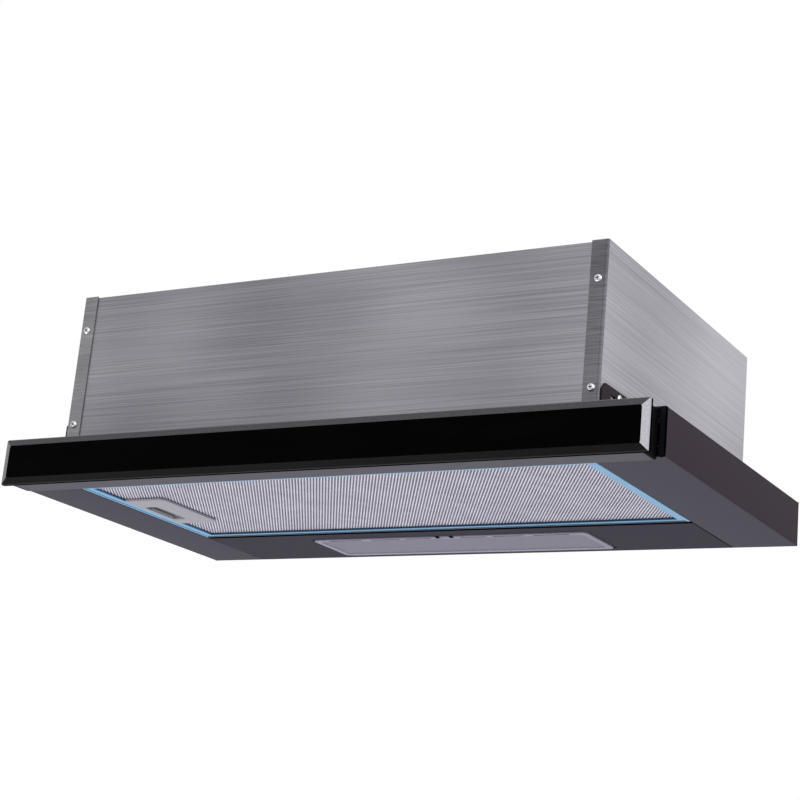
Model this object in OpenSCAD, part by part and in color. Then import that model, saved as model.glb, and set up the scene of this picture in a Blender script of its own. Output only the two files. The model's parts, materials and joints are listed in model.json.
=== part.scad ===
// Pull-out cooker hood for a wall cupboard, 60 cm class.
// A slim canopy with a glass-fronted tray that slides forward, a grease filter
// and a lamp on its underside, and a sheet-metal body with a blower above it.
// The drawing frame has x = 0 in the middle, y = 0 at the face of the glass and
// z = 0 at its lower edge; place() moves that frame to the middle of the footprint.

/* [Overall] */
// Width over the glass front and the canopy
hood_w = 598; // [570:2:900]
// Depth from the glass to the back of the canopy, tray closed
hood_d = 322; // [318:1:340]
// Travel of the pull-out tray
tray_travel = 165; // [60:5:165]

/* [Glass front] */
// Height of the glass
glass_h = 40; // [38:1:41]
// Thickness of the glass
glass_t = 6; // [5:0.5:6]
// Width of the ground bevel round the glass
bevel_w = 6; // [2:0.5:10]
// Depth of the bevel
bevel_d = 2.2; // [1:0.1:4]

/* [Body] */
// Width of the body
body_w = 500; // [480:2:500]
// Distance of the body's front face behind the glass
body_front = 20; // [16:1:28]
// Distance of the body's back face behind the glass
body_rear = 317; // [312:1:318]
// Height of the top of the body
body_top = 172; // [171:1:200]
// Width of the corner strips that lap over the front panel
corner_w = 14; // [10:1:20]

/* [Canopy] */
// Height of the canopy's underside
canopy_z = 4; // [3:0.5:4]
// Distance between the side members at the underside
opening_w = 484; // [470:2:484]
// Sheet thickness
sheet = 1; // [0.9:0.1:1]

/* [Grease filter] */
// Distance of the filter's front edge behind the glass
filter_front = 38; // [37.5:0.5:42]
// Distance of the filter's rear edge behind the glass
filter_rear = 226.5; // [222:0.5:227]
// Columns of openings in the filter net
net_columns = 60; // [20:1:60]
// Rows of openings in the filter net
net_rows = 5; // [2:1:5]

/* [Lamp] */
// Length of the lamp cover
lens_l = 276; // [160:2:300]
// Depth of the lamp cover, front to back
lens_d = 62; // [40:1:62]

/* [Duct collar] */
// Outside radius of the collar that takes the duct
collar_r = 60; // [60:0.5:62.5]
// Height of the collar above the top panel
collar_h = 32; // [25:1:60]

/* [Blower] */
// Outside radius of the blower wheel
wheel_r = 44; // [40:1:44]
// Number of blades on the wheel
blades = 32; // [12:1:36]

/* [Hidden] */
$fn = 48;
tiny = 0.01;
hole_gap = 0.1;

// Heights and widths that several pieces share
half_w = hood_w / 2;
half_body = body_w / 2;
half_open = opening_w / 2;
canopy_front = 32;
canopy_top = 42;
deck_z = canopy_top + sheet;
canopy_back = hood_d - sheet;
lip_top = 12;
rail_half = half_w - 6;
cap_t = 2;
rail_z0 = 1.5;
rail_z1 = glass_h - 1;
tape_t = 0.6;
rail_y0 = glass_t + tape_t;
rail_y1 = 31;
arm_x = half_w - 21;
arm_z0 = 13.5;
arm_z1 = 36;
arm_rear = 300;
flange_x = half_open - 2;

// ---------------------------------------------------------------- helpers

// Everything is drawn from the glass and shown about the middle of the footprint
module place() translate([0, -hood_d / 2, 0]) children();

// A block given by its limits along each axis
module block(x, y, z)
    translate([x[0], y[0], z[0]]) cube([x[1] - x[0], y[1] - y[0], z[1] - z[0]]);

// A drawing whose axes are Y and Z, drawn out along X
module along_x(x0, x1) translate([x0, 0, 0]) rotate([90, 0, 90]) linear_extrude(x1 - x0) children();

// A drawing whose axes are X and Z, drawn out along Y
module along_y(y0, y1) translate([0, y1, 0]) rotate([90, 0, 0]) linear_extrude(y1 - y0) children();

// A drawing whose axes are X and Y, drawn out along Z
module along_z(z0, z1) translate([0, 0, z0]) linear_extrude(z1 - z0) children();

// Right-hand pieces are drawn; left-hand ones are their mirror image
module hand(side) mirror([side < 0 ? 1 : 0, 0, 0]) children();

// Rectangle with round corners, about its middle
module round_rect(w, d, r) {
    square([w - 2 * r, d], center = true);
    square([w, d - 2 * r], center = true);
    for (x = [-1, 1], y = [-1, 1])
        translate([x * (w / 2 - r), y * (d / 2 - r)]) circle(r);
}

// Slot with round ends, lying along X, about its middle
module slot(l, w) {
    square([l - w, w], center = true);
    for (x = [-1, 1]) translate([x * (l - w) / 2, 0]) circle(d = w);
}

function unit(v) = v / norm(v);
function left_of(v) = [-v[1], v[0]];
// The path moved sideways to its left, mitred at each bend
function beside(path, t) = [
    for (i = [0 : len(path) - 1])
        let (
            b = unit(path[min(i + 1, len(path) - 1)] - path[min(i, len(path) - 2)]),
            a = unit(path[max(i, 1)] - path[max(i - 1, 0)]),
            m = left_of(a) + left_of(b)
        )
        path[i] + 2 * t * m / (m * m)
];
function reversed(list) = [for (i = [len(list) - 1 : -1 : 0]) list[i]];

// Profile of a folded sheet: its outer face follows the path, its thickness lies to the left
module folded(path, t = sheet) polygon(concat(path, reversed(beside(path, t))));

// ---------------------------------------------------------------- pull-out tray

// Black glass with a bevel ground round its front, where two profiles cross
module fascia_glass() color("#0a0a0c") intersection() {
    along_x(-half_w, half_w) polygon([
        [0, bevel_w], [bevel_d, 0], [glass_t, 0],
        [glass_t, glass_h], [bevel_d, glass_h], [0, glass_h - bevel_w]
    ]);
    along_z(0, glass_h) polygon([
        [-half_w, bevel_d], [bevel_w - half_w, 0], [half_w - bevel_w, 0],
        [half_w, bevel_d], [half_w, glass_t], [-half_w, glass_t]
    ]);
}

tape_w = 6;
tape_edge = 3;
tape_end = 10;
// Two strips of foam tape that hold the glass to the rail
module glass_tape() color("#202022")
    for (z = [rail_z0 + tape_edge, rail_z1 - tape_edge - tape_w])
        block([tape_end - rail_half, rail_half - tape_end], [glass_t, rail_y0], [z, z + tape_w]);

strip_x = [150, 262];
strip_y = [10, 28];
// Closed sheet-metal rail behind the glass, with a window for the controls in its top
module front_rail() color("#5a5560") difference() {
    block([cap_t - rail_half, rail_half - cap_t], [rail_y0, rail_y1], [rail_z0, rail_z1]);
    block([-half_w, half_w], [rail_y0 + sheet, rail_y1 - sheet], [rail_z0 + sheet, rail_z1 - sheet]);
    block(strip_x, strip_y, [rail_z1 - 2 * sheet, rail_z1 + sheet]);
}

plug_in = sheet + 0.2;
plug_wall = 2.3;
plug_l = 12;
// Moulded cap that plugs into the end of the rail
module end_cap(side) color("#1d1a20") hand(side) {
    along_x(rail_half - cap_t, rail_half)
        translate([(rail_y0 + rail_y1) / 2, (rail_z0 + rail_z1) / 2])
            round_rect(rail_y1 - rail_y0, rail_z1 - rail_z0, 1.5);
    difference() {
        block([rail_half - cap_t - plug_l, rail_half - cap_t],
            [rail_y0 + plug_in, rail_y1 - plug_in], [rail_z0 + plug_in, rail_z1 - plug_in]);
        block([rail_half - cap_t - plug_l - 1, rail_half - cap_t - 1.5],
            [rail_y0 + plug_in + plug_wall, rail_y1 - plug_in - plug_wall],
            [rail_z0 + plug_in + plug_wall, rail_z1 - plug_in - plug_wall]);
    }
}

arm_turn = 16;
// Side arm of the tray, with a shelf for its filter and turned ends
module tray_arm(side) color("#8b8a90") hand(side) {
    along_y(rail_y1 + sheet, arm_rear)
        folded([[flange_x, arm_z0], [arm_x, arm_z0], [arm_x, arm_z1]]);
    block([arm_x - arm_turn, arm_x], [rail_y1, rail_y1 + sheet], [arm_z0, arm_z1]);
    block([arm_x - arm_turn, arm_x - sheet], [arm_rear - sheet, arm_rear], [arm_z0, arm_z1]);
}

// With the tray out, its bar stands just inside the front of the canopy
bar_y = [canopy_front + tray_travel + 27, canopy_front + tray_travel + 45];
bar_top = 40;
bar_gap = 0.2;
bar_lip = 6;
// Rear cross bar, tall enough to close the gap above the tray when it is pulled out
module tray_bar() color("#8b8a90")
    along_x(bar_gap - arm_x + sheet, arm_x - sheet - bar_gap)
        folded([
            [bar_y[1], arm_z0 + sheet], [bar_y[0], arm_z0 + sheet],
            [bar_y[0], bar_top], [bar_y[1] - bar_lip, bar_top]
        ], -sheet);

tray_filter_x = arm_x - 16;
tray_filter_y = [canopy_front + 2, bar_y[0] - 2];
tray_filter_z = [arm_z0 + sheet, arm_z0 + sheet + 8];
tray_rim = 14;
tray_channel = 2;
channel_t = 1.5;
net_t = 2.4;
// Frame of the second grease filter, which the tray carries: a channel on all four sides
module tray_filter_frame() color("#b9bbc0") difference() {
    block([-tray_filter_x, tray_filter_x], tray_filter_y, tray_filter_z);
    block([tray_rim - tray_filter_x, tray_filter_x - tray_rim],
        [tray_filter_y[0] + tray_rim, tray_filter_y[1] - tray_rim], [0, glass_h]);
    block([tray_channel - tray_filter_x, tray_filter_x - tray_channel],
        [tray_filter_y[0] + tray_channel, tray_filter_y[1] - tray_channel],
        [tray_filter_z[0] + channel_t, tray_filter_z[1] - channel_t]);
}

bar_share = 0.42;
// A flat net: a sheet with columns and rows of long openings inside a plain margin
module net(x, y, z, columns, rows, margin) {
    pitch_x = (x[1] - x[0] - 2 * margin) / columns;
    pitch_y = (y[1] - y[0] - 2 * margin) / rows;
    along_z(z, z + net_t) difference() {
        translate([x[0], y[0]]) square([x[1] - x[0], y[1] - y[0]]);
        for (i = [0 : columns - 1], j = [0 : rows - 1])
            translate([
                x[0] + margin + (i + bar_share / 2) * pitch_x,
                y[0] + margin + (j + bar_share / 6) * pitch_y
            ])
                square([pitch_x * (1 - bar_share), pitch_y * (1 - bar_share / 3)]);
    }
}

tray_net_edge = 6;
tray_net_columns = 40;
tray_net_rows = 3;
// Net of the second filter, held in the frame's channel
module tray_filter_net() color("#c6c4c4")
    net([tray_net_edge - tray_filter_x, tray_filter_x - tray_net_edge],
        [tray_filter_y[0] + tray_net_edge, tray_filter_y[1] - tray_net_edge],
        tray_filter_z[0] + channel_t, tray_net_columns, tray_net_rows, 10);

pad_x = 190;
pad_z = 9;
pad_h = 1.8;
// Rubber buffers on the back of the rail, which meet the canopy's front bar
module bumper_pads() color("#151515")
    for (x = [-pad_x, pad_x])
        translate([x, rail_y1, pad_z]) rotate([-90, 0, 0]) cylinder(r1 = 3.8, r2 = 3, h = pad_h);

knob_z = [glass_h - 3.4, glass_h + 1];
knob_y = [13, 25];
light_x = [158, 166];
speed_x = [190, 198];
light_travel = 8;
speed_travel = 24;
strip_gap = 0.2;
strip_t = 9;
// Moulded strip let into the top of the rail, with a track for each slide knob
module control_strip() color("#26262a") difference() {
    union() {
        block([strip_x[0] + strip_gap, strip_x[1] - strip_gap],
            [strip_y[0] + strip_gap, strip_y[1] - strip_gap], [rail_z1 - strip_t, rail_z1]);
        block([strip_x[0] - 3, strip_x[1] + 3], [strip_y[0] - 2.2, strip_y[1] + 1.8],
            [rail_z1 - 2 - sheet, rail_z1 - sheet]);
    }
    track(light_x, light_travel);
    track(speed_x, speed_travel);
}

track_gap = 0.4;
floor_gap = 0.05;
// The room that a knob slides in
module track(x, travel)
    block([x[0] - track_gap, x[1] + travel + track_gap], [knob_y[0] - track_gap, knob_y[1] + track_gap],
        [knob_z[0] - floor_gap, knob_z[1]]);

// Slide knob with finger ribs
module knob(x) {
    block(x, knob_y, [knob_z[0], knob_z[1] - 1]);
    for (i = [0 : 3])
        block([x[0] + 0.5 + i * 2, x[0] + 1.5 + i * 2], [knob_y[0] + 1, knob_y[1] - 1],
            [knob_z[1] - 1 - tiny, knob_z[1]]);
}

module light_knob() color("#d5d5d8") knob(light_x);

module speed_knob() color("#d5d5d8") knob(speed_x);

// ---------------------------------------------------------------- telescopic runners

runner_front = 34;
runner_rear = 316;
// Innermost member, fixed to the tray's arm
module runner_inner(side) color("#c9ccd2") hand(side)
    along_y(runner_front, arm_rear) folded([
        [arm_x + 12, 32], [arm_x, 32], [arm_x, 15], [arm_x + 12, 15]
    ]);

// Middle member, which moves half as far as the tray
module runner_middle(side) color("#bfc2c8") hand(side)
    along_y(runner_front + 2, arm_rear) folded([
        [arm_x + 3, 12], [arm_x + 15, 12], [arm_x + 15, 35], [arm_x + 3, 35]
    ]);

glide_gap = 0.1;
glide_l = 34;
// Nylon glides on the middle member: two run in the outer member, two carry the inner one
module runner_glides(side) color("#e9e6dc") hand(side) {
    for (z = [[10.5 + glide_gap, 12], [35, 36.5 - glide_gap]])
        block([arm_x + 7, arm_x + 14], [arm_rear - glide_l, arm_rear], z);
    for (z = [[13, 15 - glide_gap], [32 + glide_gap, 34]])
        block([arm_x + 4, arm_x + 11], [runner_front + 2, runner_front + 2 + glide_l], z);
}

// Outer member, fixed to the side member's wall
module runner_outer(side) color("#c9ccd2") hand(side)
    along_y(runner_front, runner_rear) folded([
        [arm_x + 6, 9.5], [arm_x + 20, 9.5], [arm_x + 20, 37.5], [arm_x + 6, 37.5]
    ]);

// ---------------------------------------------------------------- canopy

latch_y = [126, 134];
latch_z = [7, 9];
tongue_y = [88, 176];
tongue_l = 16;
catch_gap = 0.4;
front_gap = 0.8;
top_flange = 6;
// Folded side member of the canopy: the dark strip beside the filter, its outer wall and its top
module side_member(side) color("#3a343b") hand(side) {
    difference() {
        along_y(canopy_front, canopy_back) folded([
            [half_open, lip_top], [half_open, canopy_z], [half_w, canopy_z],
            [half_w, canopy_top], [half_open - top_flange, canopy_top]
        ]);
        if (side < 0)
            block([half_open - 1, half_open + 2], [latch_y[0] - catch_gap, latch_y[1] + catch_gap],
                [latch_z[0] - catch_gap, latch_z[1] + catch_gap]);
        else
            for (y = tongue_y)
                block([half_open - 1, half_open + 2], [y - catch_gap, y + tongue_l + catch_gap],
                    [latch_z[0] - catch_gap, latch_z[1] + catch_gap]);
    }
    block([rail_half + front_gap, half_w], [canopy_front, canopy_front + sheet], [canopy_z, canopy_top]);
}

bar_front = canopy_front + 1;
bar_rear = bar_front + 4;
// Cross bar at the front edge of the filter, which the tray's buffers meet
module front_bar() color("#3a343b") along_x(-half_open, half_open)
    folded([[bar_rear, lip_top], [bar_front, lip_top], [bar_front, canopy_z], [bar_rear, canopy_z]]);

// Back wall of the canopy, with a flange under the deck
module rear_bar() color("#3a343b") {
    block([-half_w, half_w], [canopy_back, hood_d], [canopy_z, canopy_top]);
    block([top_flange + 1 - half_open, half_open - top_flange - 1],
        [canopy_back - 15, canopy_back], [canopy_top - sheet, canopy_top]);
}

panel_gap = 0.5;
panel_front = filter_rear + 4.5;
panel_turn = 9;
lamp_y = canopy_back - lens_d / 2 - 10;
cut_w = lens_l + 5;
cut_d = lens_d + 5;
// Panel behind the filter, turned up at both edges, with the opening for the lamp
module lamp_panel() color("#47444f") difference() {
    along_x(panel_gap - half_open, half_open - panel_gap) folded([
        [panel_front, canopy_z + panel_turn], [panel_front, canopy_z],
        [canopy_back, canopy_z], [canopy_back, canopy_z + panel_turn]
    ]);
    along_z(canopy_z - 1, canopy_z + 2 * sheet) translate([0, lamp_y]) round_rect(cut_w, cut_d, 5);
}

lens_z = canopy_z - 1;
hinge_y = lamp_y + lens_d / 2 - 1.6;
hinge_z = lens_z + 1.8;
hinge_r = 1.3;
housing_wall = 1.5;
housing_top = 18;
housing_w = cut_w - 0.4;
housing_d = cut_d - 0.4;
tab_x = 7;
// Moulded lamp housing: a box open below, with a flange that rests on the panel
module lamp_housing() color("#6a6870") difference() {
    union() {
        along_z(canopy_z, housing_top) translate([0, lamp_y]) round_rect(housing_w, housing_d, 4.8);
        along_z(canopy_z + sheet, canopy_z + sheet + housing_wall) translate([0, lamp_y])
            round_rect(cut_w + 10, cut_d + 10, 6);
    }
    along_z(canopy_z - 1, housing_top - housing_wall) translate([0, lamp_y])
        round_rect(housing_w - 2 * housing_wall, housing_d - 2 * housing_wall, 2);
    for (x = [-1, 1])
        translate([x * (housing_w - housing_wall) / 2, hinge_y, hinge_z]) rotate([0, 90, 0])
            cylinder(r = hinge_r + pin_gap, h = 3, center = true);
}

board_end = 20;
board_half = 9;
board_z = [housing_top - housing_wall - 1.6, housing_top - housing_wall];
lamp_count = 12;
chip = 3.5;
chip_h = 1.6;
// Board with a row of lamps, fixed under the roof of the housing
module led_board() color("#e8e6da") {
    block([board_end - lens_l / 2, lens_l / 2 - board_end],
        [lamp_y - board_half, lamp_y + board_half], board_z);
    for (i = [0 : lamp_count - 1])
        translate([(i - (lamp_count - 1) / 2) * (lens_l - 2 * board_end) / lamp_count, lamp_y, board_z[0]])
            translate([-chip / 2, -chip / 2, -chip_h]) cube([chip, chip, chip_h + tiny]);
}

lens_t = 2.2;
lens_h = 4;
lens_wall = 2;
edge_cut = 1.2;
boss_r = 1.6;
// Clear cover of the lamp: a shallow dish that swings down on two pins at its rear edge
module lamp_lens() color("#9c98aa", 0.8) {
    difference() {
        along_z(lens_z, lens_z + lens_h) translate([0, lamp_y]) round_rect(lens_l, lens_d, 5);
        along_z(lens_z + lens_t, lens_z + lens_h + 1) translate([0, lamp_y])
            round_rect(lens_l - 2 * lens_wall, lens_d - 2 * lens_wall, 3);
        for (x = [-tab_x, tab_x])
            block([x - 1.5, x + 1.5], [lamp_y - lens_d / 2 - 1, lamp_y - lens_d / 2 + 4], [0, 10]);
        along_x(-half_w, half_w) translate([lamp_y + lens_d / 2, lens_z])
            polygon([[1, -1], [1, edge_cut], [0, edge_cut], [-edge_cut, 0], [-edge_cut, -1]]);
    }
    for (x = [-1, 1])
        translate([x * (lens_l / 2 - 1), hinge_y, hinge_z]) rotate([0, 90, 0]) {
            cylinder(r = boss_r, h = 2, center = true);
            translate([0, 0, x * 1.4]) cylinder(r = hinge_r, h = 3, center = true);
        }
}

// ---------------------------------------------------------------- main grease filter

filter_half = half_open - 0.6;
filter_z = [canopy_z + 0.2, lip_top];
rim_front = 6;
rim_side = 9;
rim_rear = 6.5;
ridge_w = 2.5;
ridge_h = 0.5;
channel_wall = 1.2;
slot_z = [canopy_z + 2, lip_top - 2];
// Aluminium channel on all four sides of the filter, with a ridge round its lower face and two
// tongues on the right
module filter_frame() color("#6fb1dc") difference() {
    union() {
        block([-filter_half, filter_half], [filter_front, filter_rear], filter_z);
        for (y = tongue_y)
            block([filter_half - 1, filter_half + 5], [y, y + tongue_l], latch_z);
    }
    block([rim_side - filter_half, filter_half - rim_side],
        [filter_front + rim_front, filter_rear - rim_rear], [0, 20]);
    block([ridge_w - filter_half, filter_half - ridge_w],
        [filter_front + ridge_w, filter_rear - ridge_w], [0, filter_z[0] + ridge_h]);
    block([channel_wall - filter_half, filter_half - channel_wall],
        [filter_front + channel_wall, filter_rear - channel_wall], slot_z);
    block([-filter_half - 1, 2 - filter_half], [latch_y[0] - catch_gap, latch_y[1] + catch_gap],
        [latch_z[0] - catch_gap, latch_z[1] + catch_gap]);
}

handle_x = [rim_side - filter_half, rim_side - filter_half + 42];
handle_y = [88, 171];
pocket_x = [handle_x[0] + 4.4, handle_x[0] + 18.4];
pocket_y = [111, 156];
slider_x = [pocket_x[0] + 2, pocket_x[1]];
latch_travel = 6;
guide_x = slider_x[1] + latch_travel + 2;
guide_wall = 2;
net_edge = 3;
// Net of the filter, cut out round the latch
module filter_net() color("#c9bfc2") difference() {
    net([net_edge - filter_half, filter_half - net_edge], [filter_front + net_edge, filter_rear - net_edge],
        slot_z[0], net_columns, net_rows, 7);
    block([-filter_half, guide_x + guide_wall],
        [pocket_y[0] - guide_wall, pocket_y[1] + guide_wall], [0, glass_h]);
}

// Plate with a finger hole, and the small housing above it that guides the latch
module filter_handle() color("#a9a7a8") difference() {
    union() {
        along_z(canopy_z + 0.3, slot_z[0]) polygon([
            [handle_x[0], handle_y[0]], [handle_x[1] - 3, handle_y[0]], [handle_x[1], handle_y[0] + 3],
            [handle_x[1], handle_y[1] - 3], [handle_x[1] - 3, handle_y[1]], [handle_x[0], handle_y[1]]
        ]);
        block([handle_x[0], guide_x + guide_wall],
            [pocket_y[0] - guide_wall, pocket_y[1] + guide_wall], [slot_z[0] - tiny, lip_top - 0.8]);
    }
    block([handle_x[0] - 1, guide_x], pocket_y, slot_z);
    along_z(canopy_z - 1, slot_z[0] + tiny)
        translate([(pocket_x[0] + pocket_x[1]) / 2, (pocket_y[0] + pocket_y[1]) / 2])
            round_rect(pocket_x[1] - pocket_x[0], pocket_y[1] - pocket_y[0], 3);
}

slider_gap = 0.3;
// Latch: a slider with a finger grip, whose bolt enters the side member
module filter_latch() color("#8f8d90") {
    block(slider_x, [pocket_y[0] + 2 * slider_gap, pocket_y[1] - 2 * slider_gap],
        [slot_z[0] + slider_gap, slot_z[1] - slider_gap]);
    block([-half_open - 3.5, slider_x[0] + tiny], latch_y, latch_z);
    block([slider_x[0], slider_x[0] + 3], [pocket_y[0] + 7, pocket_y[1] - 7],
        [canopy_z + 0.5, slot_z[0] + slider_gap + tiny]);
}

// ---------------------------------------------------------------- body

deck_hole_y = 172;
// Floor of the body, with the opening that air rises through
module deck_plate() color("#9a9aa0") difference() {
    block([-half_body, half_body], [body_front, body_rear], [canopy_top, deck_z]);
    along_z(canopy_top - 1, deck_z + 1) translate([0, deck_hole_y]) round_rect(404, 210, 12);
}

screw_z = [deck_z + 13, body_top - 31];
screw_r = 1.6;
leg_screw = [51, 55.5];
// Side panel, turned round both corners; its front turn laps over the front panel
module side_panel(side) color("#a5a5aa") hand(side) difference() {
    along_z(deck_z, body_top) folded([
        [half_body - corner_w, body_front], [half_body, body_front],
        [half_body, body_rear], [half_body - corner_w, body_rear]
    ]);
    for (z = screw_z)
        translate([half_body - corner_w / 2, body_front, z]) rotate([90, 0, 0])
            cylinder(r = screw_r + hole_gap, h = 10, center = true);
    translate([half_body, leg_screw[0], leg_screw[1]]) rotate([0, 90, 0])
        cylinder(r = screw_r + hole_gap, h = 10, center = true);
}

foot = 16;
side_gap = 0.1;
top_z = body_top - 1;
// Front panel behind the corner strips, with a foot turned in at the bottom
module front_panel() color("#8c8c92") difference() {
    along_x(side_gap + sheet - half_body, half_body - sheet - side_gap) folded([
        [body_front + sheet + foot, deck_z], [body_front + sheet, deck_z], [body_front + sheet, top_z]
    ], -sheet);
    for (x = [-1, 1], z = screw_z)
        translate([x * (half_body - corner_w / 2), body_front, z]) rotate([90, 0, 0])
            cylinder(r = screw_r + hole_gap, h = 10, center = true);
}

// Back panel with a foot turned in at the bottom
module back_panel() color("#8c8c92")
    along_x(side_gap + sheet - half_body, half_body - sheet - side_gap) folded([
        [body_rear - sheet - foot, deck_z], [body_rear - sheet, deck_z], [body_rear - sheet, top_z]
    ]);

duct_y = (body_front + body_rear) / 2;
hole_r = collar_r - 1;
flange_r = 76;
collar_pcd = 140;
gland_pos = [190, 264];
gland_r = 6;
top_turn = 12;
// Top panel, turned down on two sides, with the holes for the duct and the cable
module top_panel() color("#9a9aa0") difference() {
    along_y(body_front + 2 * sheet, body_rear - 2 * sheet) folded([
        [half_body - sheet - side_gap, top_z - top_turn], [half_body - sheet - side_gap, top_z],
        [side_gap + sheet - half_body, top_z], [side_gap + sheet - half_body, top_z - top_turn]
    ]);
    translate([0, duct_y, top_z - 5]) cylinder(r = hole_r, h = 10, $fn = 96);
    translate([gland_pos[0], gland_pos[1], top_z - 5]) cylinder(r = gland_r, h = 10);
    for (a = [45 : 90 : 315])
        translate([0, duct_y, top_z - 5]) rotate(a) translate([collar_pcd / 2, 0])
            cylinder(r = screw_r + hole_gap, h = 10);
}

leg_top = 61;
leg_t = 1.5;
leg_slot = [41, leg_screw[1] - 2];
foot_y = [96, 216];
ear_x = half_w - 18;
ear_h = 12;
slot_y = [116, 196];
// Black fixing bracket: a leg on the side of the body and an ear that reaches the cupboard's side
module side_bracket(side) color("#1b191d") hand(side) {
    difference() {
        along_x(half_body, half_body + leg_t) polygon([
            [body_front + 1, canopy_top], [foot_y[1], canopy_top], [foot_y[1], leg_top],
            [body_front + 7, leg_top], [body_front + 1, leg_top - 6]
        ]);
        translate([half_body, leg_slot[0], leg_slot[1]]) rotate([90, 0, 90])
            linear_extrude(10, center = true) slot(9, 3);
        translate([half_body, leg_screw[0], leg_screw[1]]) rotate([0, 90, 0])
            cylinder(r = screw_r + hole_gap, h = 10, center = true);
    }
    block([half_body, ear_x], foot_y, [canopy_top, canopy_top + leg_t]);
    difference() {
        block([ear_x - leg_t, ear_x], foot_y, [canopy_top, canopy_top + ear_h]);
        for (y = slot_y)
            translate([ear_x, y, canopy_top + 6.5]) rotate([90, 0, 90])
                linear_extrude(10, center = true) slot(12, 4.5);
    }
}

// ---------------------------------------------------------------- duct collar and flaps

pin_z = top_z + 9;
pin_r = 1.5;
pin_gap = 0.05;
collar_wall = 2;
flange_t = 2.5;
ledge_z = [5, 6.4];
lead_in = 0.8;
// Moulded collar with a flange, a chamfer that leads the duct on and a ledge that the flaps rest on
module duct_collar() color("#2b2b2e") translate([0, duct_y, top_z]) difference() {
    rotate_extrude($fn = 96) polygon([
        [collar_r - collar_wall, 0], [flange_r, 0], [flange_r, flange_t], [collar_r, flange_t],
        [collar_r, collar_h - lead_in], [collar_r - lead_in, collar_h], [collar_r - collar_wall, collar_h],
        [collar_r - collar_wall, ledge_z[1]], [collar_r - 2 * collar_wall, ledge_z[1]],
        [collar_r - 2 * collar_wall, ledge_z[0]], [collar_r - collar_wall, ledge_z[0]]
    ]);
    for (a = [45 : 90 : 315])
        rotate(a) translate([collar_pcd / 2, 0, -1]) cylinder(r = screw_r + hole_gap, h = 10);
    translate([0, 0, pin_z - top_z]) rotate([0, 90, 0])
        cylinder(r = pin_r + pin_gap, h = 3 * collar_r, center = true);
}

module flap_pin() color("#c0c2c8")
    translate([0, duct_y, pin_z]) rotate([0, 90, 0]) cylinder(r = pin_r, h = 2 * collar_r - 1, center = true);

flap_r = collar_r - 2.8;
flap_t = 1.2;
flap_z = pin_z - 2.4;
knuckle_r = 3;
knuckle_l = 18;
flap_clear = 3.6;
// Half-round flap on the side given, with knuckles round the pin at the places given
module flap(side, places) color("#3a3a3e") translate([0, duct_y, 0]) difference() {
    union() {
        translate([0, 0, flap_z]) linear_extrude(flap_t) intersection() {
            circle(flap_r, $fn = 96);
            translate([-collar_r, side > 0 ? flap_clear : -collar_r - flap_clear])
                square([2 * collar_r, collar_r]);
        }
        for (x = places) {
            translate([x, 0, pin_z]) rotate([0, 90, 0]) cylinder(r = knuckle_r, h = knuckle_l);
            translate([x, side > 0 ? 0 : -flap_clear - 1, flap_z]) cube([knuckle_l, flap_clear + 1, flap_t]);
        }
    }
    translate([0, 0, pin_z]) rotate([0, 90, 0])
        cylinder(r = pin_r + pin_gap, h = 3 * collar_r, center = true);
}

module flap_front() flap(-1, [-50, 10]);

module flap_rear() flap(1, [-29, 31]);

// ---------------------------------------------------------------- blower

wheel_y = duct_y + 31.5;
wheel_z = 104;
wheel_half = 58;
scroll_half = 62;
scroll_wall = 2;
scroll_r0 = wheel_r + 4;
scroll_r1 = wheel_r + 16;
outlet_y = [wheel_y - scroll_r1, wheel_y - 2];
outlet_z = 156;
inlet_r = 37;

// Outline of the scroll in Y and Z: a spiral that opens by a steady rate into a straight throat
module scroll_outline(grow) polygon(concat(
    [for (a = [0 : 10 : 270])
        let (r = scroll_r0 + (scroll_r1 - scroll_r0) * a / 270 + grow)
        [wheel_y + r * sin(a), wheel_z + r * cos(a)]],
    [[outlet_y[0] - grow, outlet_z], [outlet_y[1] + grow, outlet_z]]
));

// Half of the scroll housing, with its inlet ring
module scroll(side) color("#d8d8da") hand(side) {
    difference() {
        along_x(0, scroll_half + scroll_wall) scroll_outline(scroll_wall);
        along_x(-1, scroll_half) scroll_outline(0);
        translate([scroll_half - 5, wheel_y, wheel_z]) rotate([0, 90, 0]) cylinder(r = inlet_r, h = 10);
    }
    translate([scroll_half + scroll_wall, wheel_y, wheel_z]) rotate([0, 90, 0])
        rotate_extrude($fn = 64) translate([inlet_r, 0]) square([3, 3]);
}

adapter_r = 62;
adapter_wall = 2.5;
// Moulded hopper that leads the scroll's oblong outlet into the round hole of the top panel
module outlet_adapter() color("#c8c8cc") difference() {
    hull() {
        block([-scroll_half - scroll_wall, scroll_half + scroll_wall],
            [outlet_y[0] - scroll_wall, outlet_y[1] + scroll_wall], [outlet_z, outlet_z + 1]);
        translate([0, duct_y, top_z - sheet - 1]) cylinder(r = adapter_r, h = 1, $fn = 32);
    }
    hull() {
        block([-scroll_half, scroll_half], outlet_y, [outlet_z - tiny, outlet_z + 1]);
        translate([0, duct_y, top_z - sheet - 1])
            cylinder(r = adapter_r - adapter_wall, h = 1 + tiny, $fn = 32);
    }
}

ring_w = 8;
hub_r = 9;
shaft_r = 4;
ring_t = 2;
shaft_x = [-11, 69];
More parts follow.
